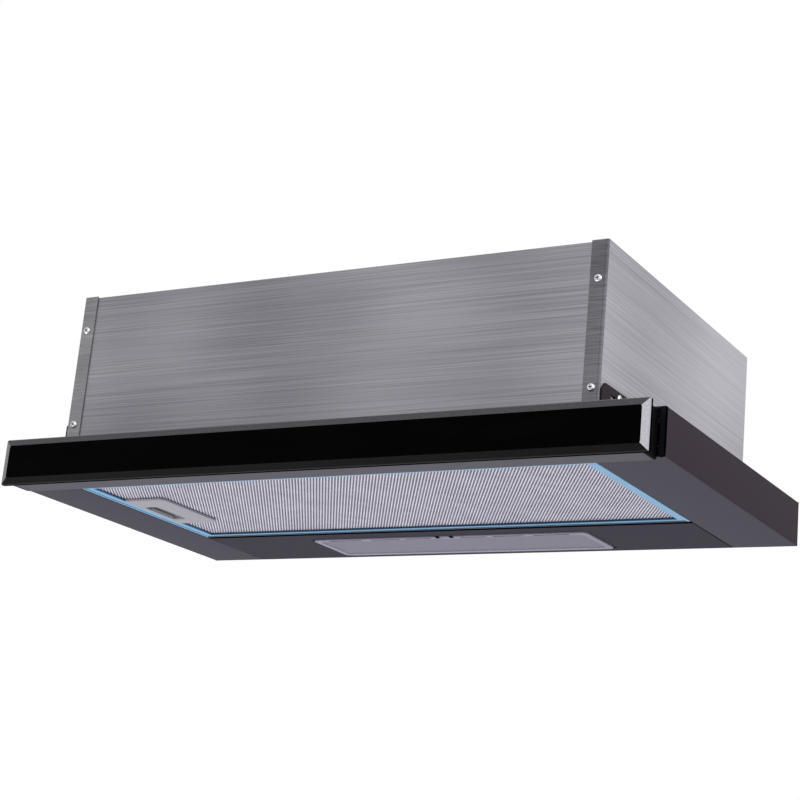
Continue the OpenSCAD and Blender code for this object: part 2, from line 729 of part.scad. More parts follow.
// Blower wheel: two rows of curved blades between end rings and a middle disc
module impeller() color("#3f4044") translate([0, wheel_y, wheel_z]) rotate([0, 90, 0]) difference() {
    union() {
        for (x = [-wheel_half, wheel_half - ring_t])
            translate([0, 0, x]) linear_extrude(ring_t) difference() {
                circle(wheel_r, $fn = 96);
                circle(wheel_r - ring_w, $fn = 96);
            }
        translate([0, 0, -ring_t / 2]) cylinder(r = wheel_r, h = ring_t, $fn = 96);
        translate([0, 0, shaft_x[0] - 1]) cylinder(r = hub_r, h = 15);
        translate([0, 0, 1 - wheel_half]) linear_extrude(2 * wheel_half - 2)
            for (i = [0 : blades - 1]) rotate(i * 360 / blades) blade();
    }
    cylinder(r = shaft_r + pin_gap, h = 3 * wheel_half, center = true);
}

blade_t = 0.9;
blade_steps = 4;
function blade_point(k, t) =
    let (s = k / blade_steps, r = wheel_r - ring_w + 0.5 + (ring_w - 1) * s, a = 16 * s * s)
    [r * cos(a) - t * sin(a + 40 * s), r * sin(a) + t * cos(a + 40 * s)];
// One forward-curved blade
module blade() polygon(concat(
    [for (k = [0 : blade_steps]) blade_point(k, 0)],
    [for (k = [blade_steps : -1 : 0]) blade_point(k, blade_t)]
));

// Shaft from the wheel's hub through the motor
module rotor_shaft() color("#b8bac0") translate([shaft_x[0], wheel_y, wheel_z]) rotate([0, 90, 0])
    cylinder(r = shaft_r, h = shaft_x[1] - shaft_x[0]);

arm_count = 3;
grommet_pcd_r = 47;
grommet_h = 3;
spider_x = scroll_half + scroll_wall + grommet_h;
motor_r = 28;
motor_x = [8, spider_x];

// Motor can with a stepped end, which fills the right half of the wheel
module motor() color("#7d8087") translate([motor_x[0], wheel_y, wheel_z]) rotate([0, 90, 0]) difference() {
    union() {
        cylinder(r = motor_r - 8, h = motor_x[1] - motor_x[0]);
        translate([0, 0, 6]) cylinder(r = motor_r, h = motor_x[1] - motor_x[0] - 6);
    }
    cylinder(r = shaft_r + pin_gap, h = 200, center = true);
}

cup_r = motor_r + 3;
cup_depth = 7;
spider_arm = 10;
pad_r = 7;
// Three-armed holder with a cup for the motor's end, carried on the side wall of the scroll
module motor_spider() color("#9a9aa0") translate([spider_x, wheel_y, wheel_z]) rotate([0, 90, 0]) {
    linear_extrude(2) difference() {
        union() {
            circle(cup_r, $fn = 96);
            for (i = [0 : arm_count - 1]) rotate(i * 120 + 30) {
                translate([motor_r, -spider_arm / 2]) square([grommet_pcd_r - motor_r, spider_arm]);
                translate([grommet_pcd_r, 0]) circle(pad_r);
            }
        }
        circle(hub_r);
        for (i = [0 : arm_count - 1]) rotate(i * 120 + 30) translate([grommet_pcd_r, 0]) circle(2);
    }
    translate([0, 0, -cup_depth]) linear_extrude(cup_depth + 0.5) difference() {
        circle(cup_r - 0.5, $fn = 96);
        circle(motor_r + pin_gap, $fn = 96);
    }
}

// Rubber mounts between the holder's arms and the side wall of the scroll
module motor_grommets() color("#1a1a1a")
    translate([scroll_half + scroll_wall, wheel_y, wheel_z]) rotate([0, 90, 0])
        for (i = [0 : arm_count - 1]) rotate(i * 120 + 30)
            translate([grommet_pcd_r, 0, 0]) cylinder(r = 5, h = grommet_h);

// ---------------------------------------------------------------- electrical parts

cap_x = [72, 128];
cap_y = 285;
cap_r = 15;
clip_x = [94, 104];
// Run capacitor in its clip under the top panel
module capacitor() color("#dfe1e4") {
    translate([cap_x[0], cap_y, top_z - sheet - cap_r - 2]) rotate([0, 90, 0])
        cylinder(r = cap_r, h = cap_x[1] - cap_x[0]);
    block(clip_x, [cap_y - 8, cap_y + 8], [top_z - sheet - 6, top_z - sheet]);
}

box_x = [gland_pos[0] - 32, gland_pos[0] + 32];
box_y = [gland_pos[1] - 28, gland_pos[1] + 28];
box_z = top_z - 35;
box_wall = 2;
connector = 12;
// Terminal box under the top panel, with its connector block inside
module terminal_box() color("#e6e4dc") {
    difference() {
        block(box_x, box_y, [box_z, top_z - sheet]);
        block([box_x[0] + box_wall, box_x[1] - box_wall], [box_y[0] + box_wall, box_y[1] - box_wall],
            [box_z + box_wall, top_z]);
    }
    block([box_x[0] + box_wall - tiny, box_x[0] + box_wall + connector],
        [box_y[0] + connector, box_y[1] - connector],
        [box_z + box_wall - tiny, box_z + box_wall + connector]);
}

gland_bore_r = 4;
// Cable gland through the top panel into the terminal box
module cable_gland() color("#18181a") translate([gland_pos[0], gland_pos[1], top_z]) difference() {
    union() {
        cylinder(r = 9, h = 5, $fn = 6);
        translate([0, 0, 5]) cylinder(r = 7, h = 5);
        translate([0, 0, -10]) cylinder(r = gland_r - 0.1, h = 11);
        translate([0, 0, -sheet - 4]) cylinder(r = 9, h = 4, $fn = 6);
    }
    translate([0, 0, -20]) cylinder(r = gland_bore_r, h = 50);
}

switch_x = [arm_x - 17, arm_x - 3];
switch_z = [18, 34];
plunger_x = (switch_x[0] + switch_x[1]) / 2;
plunger_z = 26;
plunger_r = 1.5;
plunger_l = 12;
plunger_front = arm_rear + 0.2;
plunger_travel = 3;
switch_front = plunger_front + plunger_travel + 1.8;
// Switch at the back of the canopy that the tray's arm presses when it is shut
module tray_switch() color("#222226") difference() {
    block(switch_x, [switch_front, canopy_back], switch_z);
    translate([plunger_x, arm_rear, plunger_z]) rotate([-90, 0, 0])
        cylinder(r = plunger_r + pin_gap, h = plunger_l + 4);
}

// Plunger of the switch, which stands out by its travel and a little more
module switch_plunger() color("#c8352c")
    translate([plunger_x, plunger_front, plunger_z]) rotate([-90, 0, 0])
        cylinder(r = plunger_r, h = plunger_l);

// ---------------------------------------------------------------- screws

head_r = 3.2;
shank = 6;
// Pan-head screw with a cross recess, its head's underside at the origin and its shank along -Z
module pan_screw() difference() {
    union() {
        rotate_extrude($fn = 32) polygon([[0, 0], [head_r, 0], [head_r, 0.7], [head_r - 0.9, 1.7], [0, 2]]);
        translate([0, 0, -shank]) cylinder(r = screw_r, h = shank + tiny, $fn = 24);
    }
    for (a = [0, 90]) rotate(a + 20) translate([-1.7, -0.35, 1.1]) cube([3.4, 0.7, 2]);
}

// Corner screws at the front, the screw of each side bracket and the four of the collar
module panel_screws() color("#d8d8dc") {
    for (side = [-1, 1]) hand(side) {
        for (z = screw_z)
            translate([half_body - corner_w / 2, body_front, z]) rotate([90, 0, 0]) pan_screw();
        translate([half_body + leg_t, leg_screw[0], leg_screw[1]]) rotate([0, 90, 0]) pan_screw();
    }
    for (a = [45 : 90 : 315])
        translate([0, duct_y, top_z + flange_t]) rotate(a) translate([collar_pcd / 2, 0]) pan_screw();
}

// ---------------------------------------------------------------- the whole hood

place() fascia_glass();
place() glass_tape();
place() front_rail();
place() end_cap(-1);  // end_cap_left
place() end_cap(1);  // end_cap_right
place() tray_arm(-1);  // tray_arm_left
place() tray_arm(1);  // tray_arm_right
place() tray_bar();
place() tray_filter_frame();
place() tray_filter_net();
place() bumper_pads();
place() control_strip();
place() speed_knob();
place() light_knob();
place() runner_inner(-1);  // runner_inner_left
place() runner_inner(1);  // runner_inner_right
place() runner_middle(-1);  // runner_middle_left
place() runner_middle(1);  // runner_middle_right
place() runner_glides(-1);  // runner_glides_left
place() runner_glides(1);  // runner_glides_right
place() runner_outer(-1);  // runner_outer_left
place() runner_outer(1);  // runner_outer_right
place() side_member(-1);  // side_member_left
place() side_member(1);  // side_member_right
place() front_bar();
place() rear_bar();
place() lamp_panel();
place() lamp_housing();
place() led_board();
place() lamp_lens();
place() filter_frame();
place() filter_net();
place() filter_handle();
place() filter_latch();
place() deck_plate();
place() side_panel(-1);  // side_panel_left
place() side_panel(1);  // side_panel_right
place() front_panel();
place() back_panel();
place() top_panel();
place() side_bracket(-1);  // side_bracket_left
place() side_bracket(1);  // side_bracket_right
place() duct_collar();
place() flap_pin();
place() flap_front();
place() flap_rear();
place() outlet_adapter();
place() scroll(-1);  // scroll_left
place() scroll(1);  // scroll_right
place() impeller();
place() rotor_shaft();
place() motor();
place() motor_spider();
place() motor_grommets();
place() capacitor();
place() terminal_box();
place() cable_gland();
place() tray_switch();
place() switch_plunger();
place() panel_screws();
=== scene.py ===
import json
import math

import bmesh
import bpy
from mathutils import Matrix, Vector

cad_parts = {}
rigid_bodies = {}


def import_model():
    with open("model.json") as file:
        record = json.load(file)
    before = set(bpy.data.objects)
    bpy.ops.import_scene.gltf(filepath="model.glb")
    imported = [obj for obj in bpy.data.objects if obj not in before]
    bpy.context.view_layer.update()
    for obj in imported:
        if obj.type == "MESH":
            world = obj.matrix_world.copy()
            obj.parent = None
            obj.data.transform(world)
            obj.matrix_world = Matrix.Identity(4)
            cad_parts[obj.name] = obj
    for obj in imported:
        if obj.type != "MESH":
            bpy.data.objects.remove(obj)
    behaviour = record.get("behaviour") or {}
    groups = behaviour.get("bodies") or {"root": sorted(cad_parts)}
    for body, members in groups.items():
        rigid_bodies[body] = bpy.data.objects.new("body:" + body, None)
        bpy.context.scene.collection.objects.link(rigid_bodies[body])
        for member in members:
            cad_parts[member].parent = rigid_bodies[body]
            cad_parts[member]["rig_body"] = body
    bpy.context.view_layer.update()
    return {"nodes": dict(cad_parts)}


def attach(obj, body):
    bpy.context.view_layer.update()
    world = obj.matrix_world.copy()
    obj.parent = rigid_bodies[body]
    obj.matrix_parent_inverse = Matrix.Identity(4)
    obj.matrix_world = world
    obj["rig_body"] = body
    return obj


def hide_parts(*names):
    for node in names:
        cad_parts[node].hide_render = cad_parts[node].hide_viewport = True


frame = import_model()

# ------------------------------------------------------------ camera
# A long lens in front of the hood, to its right and well below it, looking up.
# The horizon is tilted a little, as a hand-held camera leaves it.
camera_place = Vector((0.8228, -1.3560, -0.3513))
turn_left, look_up, tilt = math.radians(31.40), math.radians(16.00), math.radians(5.42)
ahead = Vector((-math.sin(turn_left) * math.cos(look_up), math.cos(turn_left) * math.cos(look_up),
                math.sin(look_up)))
level = Vector((math.cos(turn_left), math.sin(turn_left), 0))
upward = level.cross(ahead)
camera = bpy.data.objects.new("camera", bpy.data.cameras.new("camera"))
camera.data.lens = 86.14
camera.matrix_world = Matrix.Translation(camera_place) @ Matrix((
    math.cos(tilt) * level + math.sin(tilt) * upward,
    math.cos(tilt) * upward - math.sin(tilt) * level,
    -ahead,
)).transposed().to_4x4()
bpy.context.scene.collection.objects.link(camera)
bpy.context.scene.camera = camera
bpy.context.scene.view_settings.view_transform = "Standard"


# ------------------------------------------------------------ studio: surround, floor and lamps
# A white surround, a pale floor two metres below the hood, and four large soft lamps: at the
# right for the body's side, in front, low down at the left for the underside, and behind.
def linear(colour):
    """An sRGB hex colour as the linear colour that the nodes want."""
    channels = [int(colour[i:i + 2], 16) / 255 for i in (1, 3, 5)]
    return [c / 12.92 if c <= 0.04045 else ((c + 0.055) / 1.055) ** 2.4 for c in channels] + [1.0]


def add(tree, kind, inputs=None, stops=None, **settings):
    """A node with its settings, and its inputs set to a value or linked to another node's output."""
    node = tree.nodes.new(kind)
    for name, value in settings.items():
        setattr(node, name, value)
    for name, value in (inputs or {}).items():
        if isinstance(value, bpy.types.NodeSocket):
            tree.links.new(value, node.inputs[name])
        else:
            node.inputs[name].default_value = value
    for i, (place, colour) in enumerate(stops or []):
        ramp = node.color_ramp.elements
        stop = ramp[i] if i < len(ramp) else ramp.new(place)
        stop.position, stop.color = place, linear(colour)
    return node


# What the hood is lit by is a little dimmer than the white that the camera, glass and metal see
light_given, white_seen = 0.72, 1.0
surround = bpy.data.worlds.new("white_surround")
bpy.context.scene.world = surround
surround.use_nodes = True
tree = surround.node_tree
tree.nodes.clear()
rays = add(tree, "ShaderNodeLightPath")
seen = add(tree, "ShaderNodeMath",
           {0: rays.outputs["Is Camera Ray"], 1: rays.outputs["Is Transmission Ray"]}, operation="ADD")
shown = add(tree, "ShaderNodeMath",
            {0: seen.outputs[0], 1: rays.outputs["Is Glossy Ray"]}, operation="ADD", use_clamp=True)
soft = add(tree, "ShaderNodeBackground", {"Color": linear("#ffffff"), "Strength": light_given})
white = add(tree, "ShaderNodeBackground", {"Color": linear("#ffffff"), "Strength": white_seen})
either = add(tree, "ShaderNodeMixShader", {0: shown.outputs[0], 1: soft.outputs[0], 2: white.outputs[0]})
add(tree, "ShaderNodeOutputWorld", {"Surface": either.outputs[0]})


def new_finish(name):
    """An empty material: the material, its tree and the piece's own places."""
    material = bpy.data.materials.new(name)
    material.use_nodes = True
    tree = material.node_tree
    tree.nodes.clear()
    return material, tree, add(tree, "ShaderNodeTexCoord").outputs["Object"]


def finished(material, tree, colour, gloss, relief=None, settings=None):
    """The material with one Principled shader that takes its colour, gloss and relief from these nodes."""
    inputs = {"Base Color": colour.outputs["Color"], "Roughness": gloss.outputs["Result"], **(settings or {})}
    if relief:
        inputs["Normal"] = relief.outputs["Normal"]
    shader = add(tree, "ShaderNodeBsdfPrincipled", inputs)
    add(tree, "ShaderNodeOutputMaterial", {"Surface": shader.outputs["BSDF"]})
    return material


def grained(name, dark, light, grain, rough, height=0.0, settings=None):
    """A finish whose colour, gloss and relief follow one grain.

    The grain's length in mm is one number, or one for each of X, Y and Z. Its height is in mm too.
    """
    material, tree, place = new_finish(name)
    lengths = grain if isinstance(grain, tuple) else (grain, grain, grain)
    low, high = 0.3, 0.7
    scaled = add(tree, "ShaderNodeMapping", {"Vector": place, "Scale": [1000 / s for s in lengths]})
    noise = add(tree, "ShaderNodeTexNoise",
                {"Vector": scaled.outputs[0], "Scale": 1.0, "Detail": 3.0, "Roughness": 0.6})
    colour = add(tree, "ShaderNodeValToRGB", {"Fac": noise.outputs["Fac"]},
                 stops=[(low, dark), (high, light)])
    gloss = add(tree, "ShaderNodeMapRange",
                {"Value": noise.outputs["Fac"], "From Min": low, "From Max": high,
                 "To Min": rough[0], "To Max": rough[1]})
    relief = None
    if height:
        relief = add(tree, "ShaderNodeBump", {"Height": noise.outputs["Fac"], "Distance": height / 1000})
    return finished(material, tree, colour, gloss, relief, settings)


def solid(name, points=(), faces=(), materials=(), which=None):
    """A mesh object from points in metres; which gives each face's material."""
    mesh = bpy.data.meshes.new(name)
    mesh.from_pydata([tuple(p) for p in points], [], faces)
    for material in materials:
        mesh.materials.append(material)
    if which:
        mesh.polygons.foreach_set("material_index", which)
    mesh.update()
    made = bpy.data.objects.new(name, mesh)
    bpy.context.scene.collection.objects.link(made)
    return made


# Sealed concrete painted white: matt, with a barely visible trowelled cloudiness
painted_floor = grained("white_painted_concrete", "#f0f0f0", "#f6f6f6", 300, (0.85, 0.95))
floor_half, floor_height = 30.0, -2.0
floor = solid("floor", [(x * floor_half, y * floor_half, floor_height)
                        for x, y in ((-1, -1), (1, -1), (1, 1), (-1, 1))],
              [(0, 1, 2, 3)], [painted_floor])

# Each lamp's place and width in metres, and its watts; all face the middle of the hood's foot
for name, place, width, watts in (
    ("lamp_right", (2.8, -0.7, 0.9), 3.0, 22),
    ("lamp_front", (1.4, -2.6, 2.0), 3.0, 12),
    ("lamp_low", (-1.2, -1.0, -1.6), 2.6, 26),
    ("lamp_rear", (-1.8, 2.4, 1.6), 2.6, 16),
):
    lamp = bpy.data.objects.new(name, bpy.data.lights.new(name, "AREA"))
    lamp.data.size, lamp.data.energy = width, watts
    lamp.location = place
    lamp.rotation_euler = Vector(place).to_track_quat("Z", "Y").to_euler()
    bpy.context.scene.collection.objects.link(lamp)


# ------------------------------------------------------------ tray front: glass
# Toughened float glass, black enamel on its back, the front edge ground to a satin bevel on
# all four sides. Foam tape on the back holds it to the rail.
hood_depth = 322


def at(x, y, z):
    """A place in the frame's metres from mm: x from the middle, y behind the glass, z above its foot."""
    return Vector((x / 1000, y / 1000 - hood_depth / 2000, z / 1000))


corner_steps = 4


def rounded(x0, x1, z0, z1, radius):
    """Corner points of a rectangle with round corners, anticlockwise from the lower right."""
    points = []
    for cx, cz, start in ((x1 - radius, z0 + radius, -90), (x1 - radius, z1 - radius, 0),
                          (x0 + radius, z1 - radius, 90), (x0 + radius, z0 + radius, 180)):
        for i in range(corner_steps + 1):
            angle = math.radians(start + 90 * i / corner_steps)
            points.append((cx + radius * math.cos(angle), cz + radius * math.sin(angle)))
    return points


def lofted(name, rings, materials, pick=None):
    """A closed skin over rings of equally many points; pick gives the material of a wall face."""
    count = len(rings[0])
    points = [p for ring in rings for p in ring]
    faces = [tuple(reversed(range(count))), tuple(range(len(points) - count, len(points)))]
    which = [0, len(materials) - 1]
    for r in range(len(rings) - 1):
        for i in range(count):
            j = (i + 1) % count
            faces.append((r * count + i, r * count + j, (r + 1) * count + j, (r + 1) * count + i))
            which.append(pick(r, i) if pick else 0)
    made = solid(name, points, faces, materials, which)
    work = bmesh.new()
    work.from_mesh(made.data)
    bmesh.ops.recalc_face_normals(work, faces=work.faces)
    work.to_mesh(made.data)
    work.free()
    return made


def place_on(made, body, slot, *nodes):
    """The piece moves with its body and stands for its CAD nodes, which are hidden."""
    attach(made, body)
    if nodes:
        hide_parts(*nodes)


# Toughened float glass over black enamel: deep black and mirror-smooth, with a trace of wiping marks.
# Its reflection is kept weaker than clear glass's, because the real front shows almost none.
black_glass = grained("enamelled_float_glass", "#000000", "#020203", (60, 60, 9), (0.04, 0.10),
                      settings={"IOR": 1.07})


def edges_with_painted_reflection(kind, rough, painted_reflections):
    """A satin glass finish for each side, mottled at about 1.2 mm, with a painted reflection: each side is
    painted as bright as what it faces.
    """
    return [grained(kind + "_" + side, dark, light, 1.2, rough, 0.02, {"IOR": 1.2})
            for side, (dark, light) in painted_reflections.items()]


# Ground and acid-polished glass: a smooth satin grey; the greys of its four sides are painted reflection,
# pale at the right and near-black at the bottom
bevels = edges_with_painted_reflection("ground_glass_bevel_painted_reflection", (0.35, 0.5), {
    "top": ("#3e3e40", "#535356"), "right": ("#b1b0b9", "#cecdd5"),
    "left": ("#6c6c6f", "#868689"), "bottom": ("#040405", "#09090a")})
# The narrow arris between bevel and wall, rubbed with a fine belt: duller and mostly paler; its four greys
# are painted reflection as well
arrises = edges_with_painted_reflection("belted_glass_arris_painted_reflection", (0.5, 0.65), {
    "top": ("#6b6b6d", "#88888a"), "right": ("#a9a8ad", "#c4c3c8"),
    "left": ("#8c8c8e", "#a6a6a8"), "bottom": ("#242426", "#323234")})
# The wall behind it, seamed with a coarse belt: the enamel shows through as a dull near-black
seamed_wall = grained("seamed_glass_wall", "#010101", "#040404", 1.2, (0.7, 0.85), 0.03, {"IOR": 1.02})

glass_half, glass_top, glass_depth = 299, 40, 6
bevel_width, bevel_depth = 6, 2.2
# Inset, distance behind the face and corner radius of each ring, over bevel, arris and wall to the back
glass_profile = [
    (bevel_width + 0.25, 0, 1.6), (bevel_width - 0.2, 0.06, 1.9), (0.6, bevel_depth - 0.3, 1.1),
    (0, bevel_depth + 0.5, 1.2), (0, glass_depth - 0.3, 1.2), (0.3, glass_depth, 1.0)]


def glass_side(ring, i):
    """The material of a wall face: glass, one of four bevels or arrises, or the wall."""
    half, span = corner_steps // 2, corner_steps + 1
    side = (2, 1, 3, 4)[((i - half) % (4 * span)) // span]
    return (0, side, 4 + side, 9, 9)[ring]


glass = lofted("glass_front", [
    [at(x, y, z) for x, z in rounded(inset - glass_half, glass_half - inset,
                                     inset, glass_top - inset, radius)]
    for inset, y, radius in glass_profile], [black_glass, *bevels, *arrises, seamed_wall], glass_side)
place_on(glass, "tray", "black_glass", "fascia_glass")


def paint(node, material):
    """The CAD node stays, with its own finish in every material slot."""
    data = frame["nodes"][node].data
    data.materials.clear()
    data.materials.append(material)


# Closed-cell foam: matt black with open bubbles of about 0.5 mm along its cut sides
foam = grained("closed_cell_foam", "#161617", "#2b2b2e", 0.5, (0.9, 1.0), 0.1)
paint("glass_tape", foam)


# ------------------------------------------------------------ tray front: rail, end caps, buffers
# The rail is a closed folded steel box with textured paint; a moulded cap plugs each end and
# rubber buffers on its back meet the canopy.
def dressed(node, material, slot, edge):
    """A copy of a CAD node: its triangles joined, its edges rounded by edge mm, its own finish."""
    same_spot, nearly_flat, sharp = 2e-6, math.radians(0.8), math.radians(30)
    source = frame["nodes"][node]
    work = bmesh.new()
    work.from_mesh(source.data)
    bmesh.ops.remove_doubles(work, verts=work.verts, dist=same_spot)
    bmesh.ops.dissolve_limit(work, angle_limit=nearly_flat, verts=work.verts, edges=work.edges)
    work.verts.index_update()
    made = solid(node + "_skin", [v.co for v in work.verts],
                 [[v.index for v in face.verts] for face in work.faces], [material])
    work.free()
    made.data.shade_smooth()
    round_over = made.modifiers.new("edges", "BEVEL")
    round_over.width, round_over.segments = edge / 1000, 2
    round_over.limit_method, round_over.angle_limit = "ANGLE", sharp
    made.modifiers.new("faces", "WEIGHTED_NORMAL").keep_sharp = False
    place_on(made, source["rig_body"], slot, node)
    return made


def powder_coat(piece, dark, light, rough=(0.5, 0.65), height=0.04, ior=1.15):
    """Fine-textured powder coat on steel: a dull sheen broken up by grains of about 0.9 mm.

    It gives back less of the surround than a smooth paint, so its IOR is low.
    """
    return grained("powder_coat_" + piece, dark, light, 0.9, rough, height, {"IOR": ior})


# The rail's coat is paler, smoother and glossier than the canopy's
rail_coat = powder_coat("rail", "#4f4c56", "#5a5761", height=0.03, ior=1.3)
dressed("front_rail", rail_coat, "rail_paint", 0.35)
# Moulded ABS with a spark-eroded grain of about 0.7 mm: black, with little sheen
cap_abs = grained("moulded_abs_dark", "#020102", "#060406", 0.7, (0.5, 0.65), 0.03, {"IOR": 1.12})
for node in ("end_cap_left", "end_cap_right"):
    dressed(node, cap_abs, "cap_plastic", 0.4)

# Moulded rubber: dull black with a faint bloom in patches of about 2 mm
rubber = grained("moulded_rubber", "#121213", "#222224", 2, (0.75, 0.9), 0.03)
paint("bumper_pads", rubber)

# ------------------------------------------------------------ tray controls
# A strip moulded in ABS is let into the window in the rail's top. Two moulded knobs with
# finger ribs slide in its tracks: one sets the blower's speed, the other switches the lamp.
# Moulded ABS: black, with a fine spark-eroded grain and a low sheen
strip_abs = grained("moulded_abs_black", "#17171a", "#232327", 0.7, (0.4, 0.55), 0.03)
dressed("control_strip", strip_abs, "cap_plastic", 0.25)
# Glossier moulded ABS, off-white, with a light moulding texture
knob_abs = grained("moulded_abs_pale", "#c6c6ca", "#d4d4d8", 0.6, (0.3, 0.42), 0.02)
for node in ("speed_knob", "light_knob"):
    dressed(node, knob_abs, "knob_plastic", 0.15)


# ------------------------------------------------------------ tray: arms, cross bar and runners
# Arms and bar are folded from hot-dip galvanised sheet. The runners are bright zinc-plated,
# and slide on moulded nylon glides.
def galvanised(name, dark, light, spangle):
    """Hot-dip zinc: flat crystals spangle mm across, each with its own grey and gloss."""
    material, tree, place = new_finish(name)
    scaled = add(tree, "ShaderNodeMapping", {"Vector": place, "Scale": [1000 / spangle] * 3})
    crystal = add(tree, "ShaderNodeTexVoronoi", {"Vector": scaled.outputs[0], "Scale": 1.0})
    tone = add(tree, "ShaderNodeSeparateColor", {"Color": crystal.outputs["Color"]})
    colour = add(tree, "ShaderNodeValToRGB", {"Fac": tone.outputs[0]}, stops=[(0.1, dark), (0.9, light)])
    gloss = add(tree, "ShaderNodeMapRange", {"Value": tone.outputs[1], "To Min": 0.38, "To Max": 0.48})
    return finished(material, tree, colour, gloss, settings={"Metallic": 1.0})


zinc_sheet = galvanised("hot_dip_galvanised_steel", "#a0a2a7", "#adafb4", 6)
for node in ("tray_arm_left", "tray_arm_right", "tray_bar"):
    dressed(node, zinc_sheet, "galvanised", 0.25)
# Cold-rolled strip with bright zinc plating: rolling lines along the runner, about 0.4 mm apart
plated_strip = grained("zinc_plated_runner_steel", "#a9adb4", "#c4c8ce", (0.4, 60, 0.4), (0.25, 0.38),
                       settings={"Metallic": 1.0})
# The outer members are zinc plated too, and passivated black
black_strip = grained("black_passivated_runner_steel", "#26262a", "#35363b", (0.4, 60, 0.4), (0.35, 0.48),
                      settings={"Metallic": 1.0})
# Moulded nylon: creamy, slightly waxy, with flow marks of about 4 mm
nylon = grained("moulded_nylon", "#dcd9cd", "#e9e6dc", 4, (0.35, 0.5))
for side in ("left", "right"):
    for member, strip in (("inner", plated_strip), ("middle", plated_strip), ("outer", black_strip)):
        dressed("runner_" + member + "_" + side, strip, "runner_steel", 0.25)
    paint("runner_glides_" + side, nylon)


# ------------------------------------------------------------ canopy: side members, bars and lamp panel
# Folded steel sheet with a dark textured powder coat. The side members are open box sections
# with a turned lip beside the filter; the bars and the lamp panel are fixed between them.
def smooth(made, angle):
    """Smooth shading that stays crisp at edges sharper than the angle."""
    made.data.shade_smooth()
    made.data.set_sharp_from_angle(angle=math.radians(angle))


def bent(path, radius):
    """The path with each of its inner corners rounded to the radius."""
    steps = 5
    made = [Vector(path[0])]
    for before, corner, after in zip(path, path[1:], path[2:]):
        corner = Vector(corner)
        into, out = (corner - Vector(before)).normalized(), (Vector(after) - corner).normalized()
        back = radius * math.tan(into.angle(out) / 2)
        start, end = corner - into * back, corner + out * back
        for i in range(steps + 1):
            t = i / steps
            made.append((1 - t) ** 2 * start + 2 * t * (1 - t) * corner + t ** 2 * end)
    made.append(Vector(path[-1]))
    return made


def folded(name, path, thickness, span, along, materials):
    """Sheet metal drawn out over the span along Y or Z.

    Its outer face follows the path, and its thickness lies to the path's left.
    """
    inner = []
    for i, p in enumerate(path):
        run = path[min(i + 1, len(path) - 1)] - path[max(i - 1, 0)]
        inner.append(p + Vector((-run.y, run.x)).normalized() * thickness)
    outline = list(path) + inner[::-1]
    ends = [[at(p.x, s, p.y) if along == "y" else at(p.x, p.y, s) for p in outline] for s in span]
    made = lofted(name, ends, materials)
    smooth(made, 40)
    return made


# A dark plum grey; underneath, the same powder is painted paler and bluer: painted light from below
canopy_coat = powder_coat("canopy", "#2b222b", "#372c38")
painted_light_under_coat = powder_coat("underside", "#43414c", "#4e4c58")
# The member's turned front end, painted almost black with a blue cast: painted shade beside the end cap
painted_shade_turned_coat = powder_coat("turned_end", "#0f0d14", "#16131b")
canopy_front, canopy_rear, canopy_foot, canopy_top, canopy_half = 32, 321, 4, 42, 299
lip_x, lip_top, roof_x, turned_end, sheet, member_bend = 242, 12, 236, 5.2, 1, 1.6
member_path = [(lip_x, lip_top), (lip_x, canopy_foot), (canopy_half, canopy_foot),
               (canopy_half, canopy_top), (roof_x, canopy_top)]
for side, sign in (("left", -1), ("right", 1)):
    path = bent([(sign * x, z) for x, z in member_path], member_bend)
    member = folded("canopy_side_" + side, path, sign * sheet, (canopy_front, canopy_rear), "y",
                    [canopy_coat, painted_light_under_coat])
    # Faces that look down take the coat painted with light
    for face in member.data.polygons:
        face.material_index = 1 if face.normal.z < -0.5 else 0
    place_on(member, "hood", "canopy_paint", "side_member_" + side)
    # Front end of the member, turned in beside the tray's end cap
    turned = lofted("canopy_side_end_" + side, [
        [at(sign * x, y, z)
         for x, z in rounded(canopy_half - turned_end, canopy_half, canopy_foot, canopy_top, 1.0)]
        for y in (canopy_front, canopy_front + sheet)], [painted_shade_turned_coat])
    place_on(turned, "hood", "canopy_paint")
for node in ("front_bar", "rear_bar"):
    dressed(node, canopy_coat, "canopy_paint", 0.3)
# The panel's coat is a cold dark grey; its turned-up edges that face the front are painted flat black:
# painted shade
panel_coat = powder_coat("lamp_panel", "#2e2b37", "#373441")
painted_shade_edge_coat = powder_coat("turned_edge_painted_shade", "#020203", "#060607", rough=(0.7, 0.8), ior=1.05)
lamp_panel = dressed("lamp_panel", panel_coat, "panel_paint", 0.3)
lamp_panel.data.materials.append(painted_shade_edge_coat)
# Faces that look to the front take the painted shade
for face in lamp_panel.data.polygons:
    face.material_index = 1 if face.normal.y < -0.5 else 0

# ------------------------------------------------------------ lamp: housing, board and cover
# A moulded housing carries a white circuit board with a row of lamps; the clear cover is an
# injection-moulded dish with a fine prismatic inside that swings down on two pins.
# Moulded polycarbonate: a dark grey with a fine grain, fairly dull
housing_pc = grained("moulded_polycarbonate_grey", "#26252c", "#323138", 0.7, (0.5, 0.6), 0.02, {"IOR": 1.2})
dressed("lamp_housing", housing_pc, "lamp_white", 0.25)

board_y, board_foot, board_half, board_reach, board_thickness = 280, 14.9, 118, 9, 1.6
# Glass-fibre board under white solder mask: a slight weave about 0.8 mm apart
solder_mask = grained("white_solder_mask", "#d9d8cf", "#e8e6dc", (0.8, 0.8, 6), (0.3, 0.4), 0.01)
board = lofted("lamp_board", [
    [at(x, board_y + y, z) for x, y in rounded(-board_half, board_half, -board_reach, board_reach, 1)]
    for z in (board_foot, board_foot + board_thickness)], [solder_mask])
place_on(board, "hood", "led_board", "led_board")


def new_growth(name, sockets):
    """An empty Geometry Nodes tree with named inputs: the tree and the node that gives them."""
    tree = bpy.data.node_groups.new(name, "GeometryNodeTree")
    for label, kind in sockets.items():
        tree.interface.new_socket(label, in_out="INPUT", socket_type="NodeSocket" + kind)
    tree.interface.new_socket("Geometry", in_out="OUTPUT", socket_type="NodeSocketGeometry")
    return tree, add(tree, "NodeGroupInput").outputs


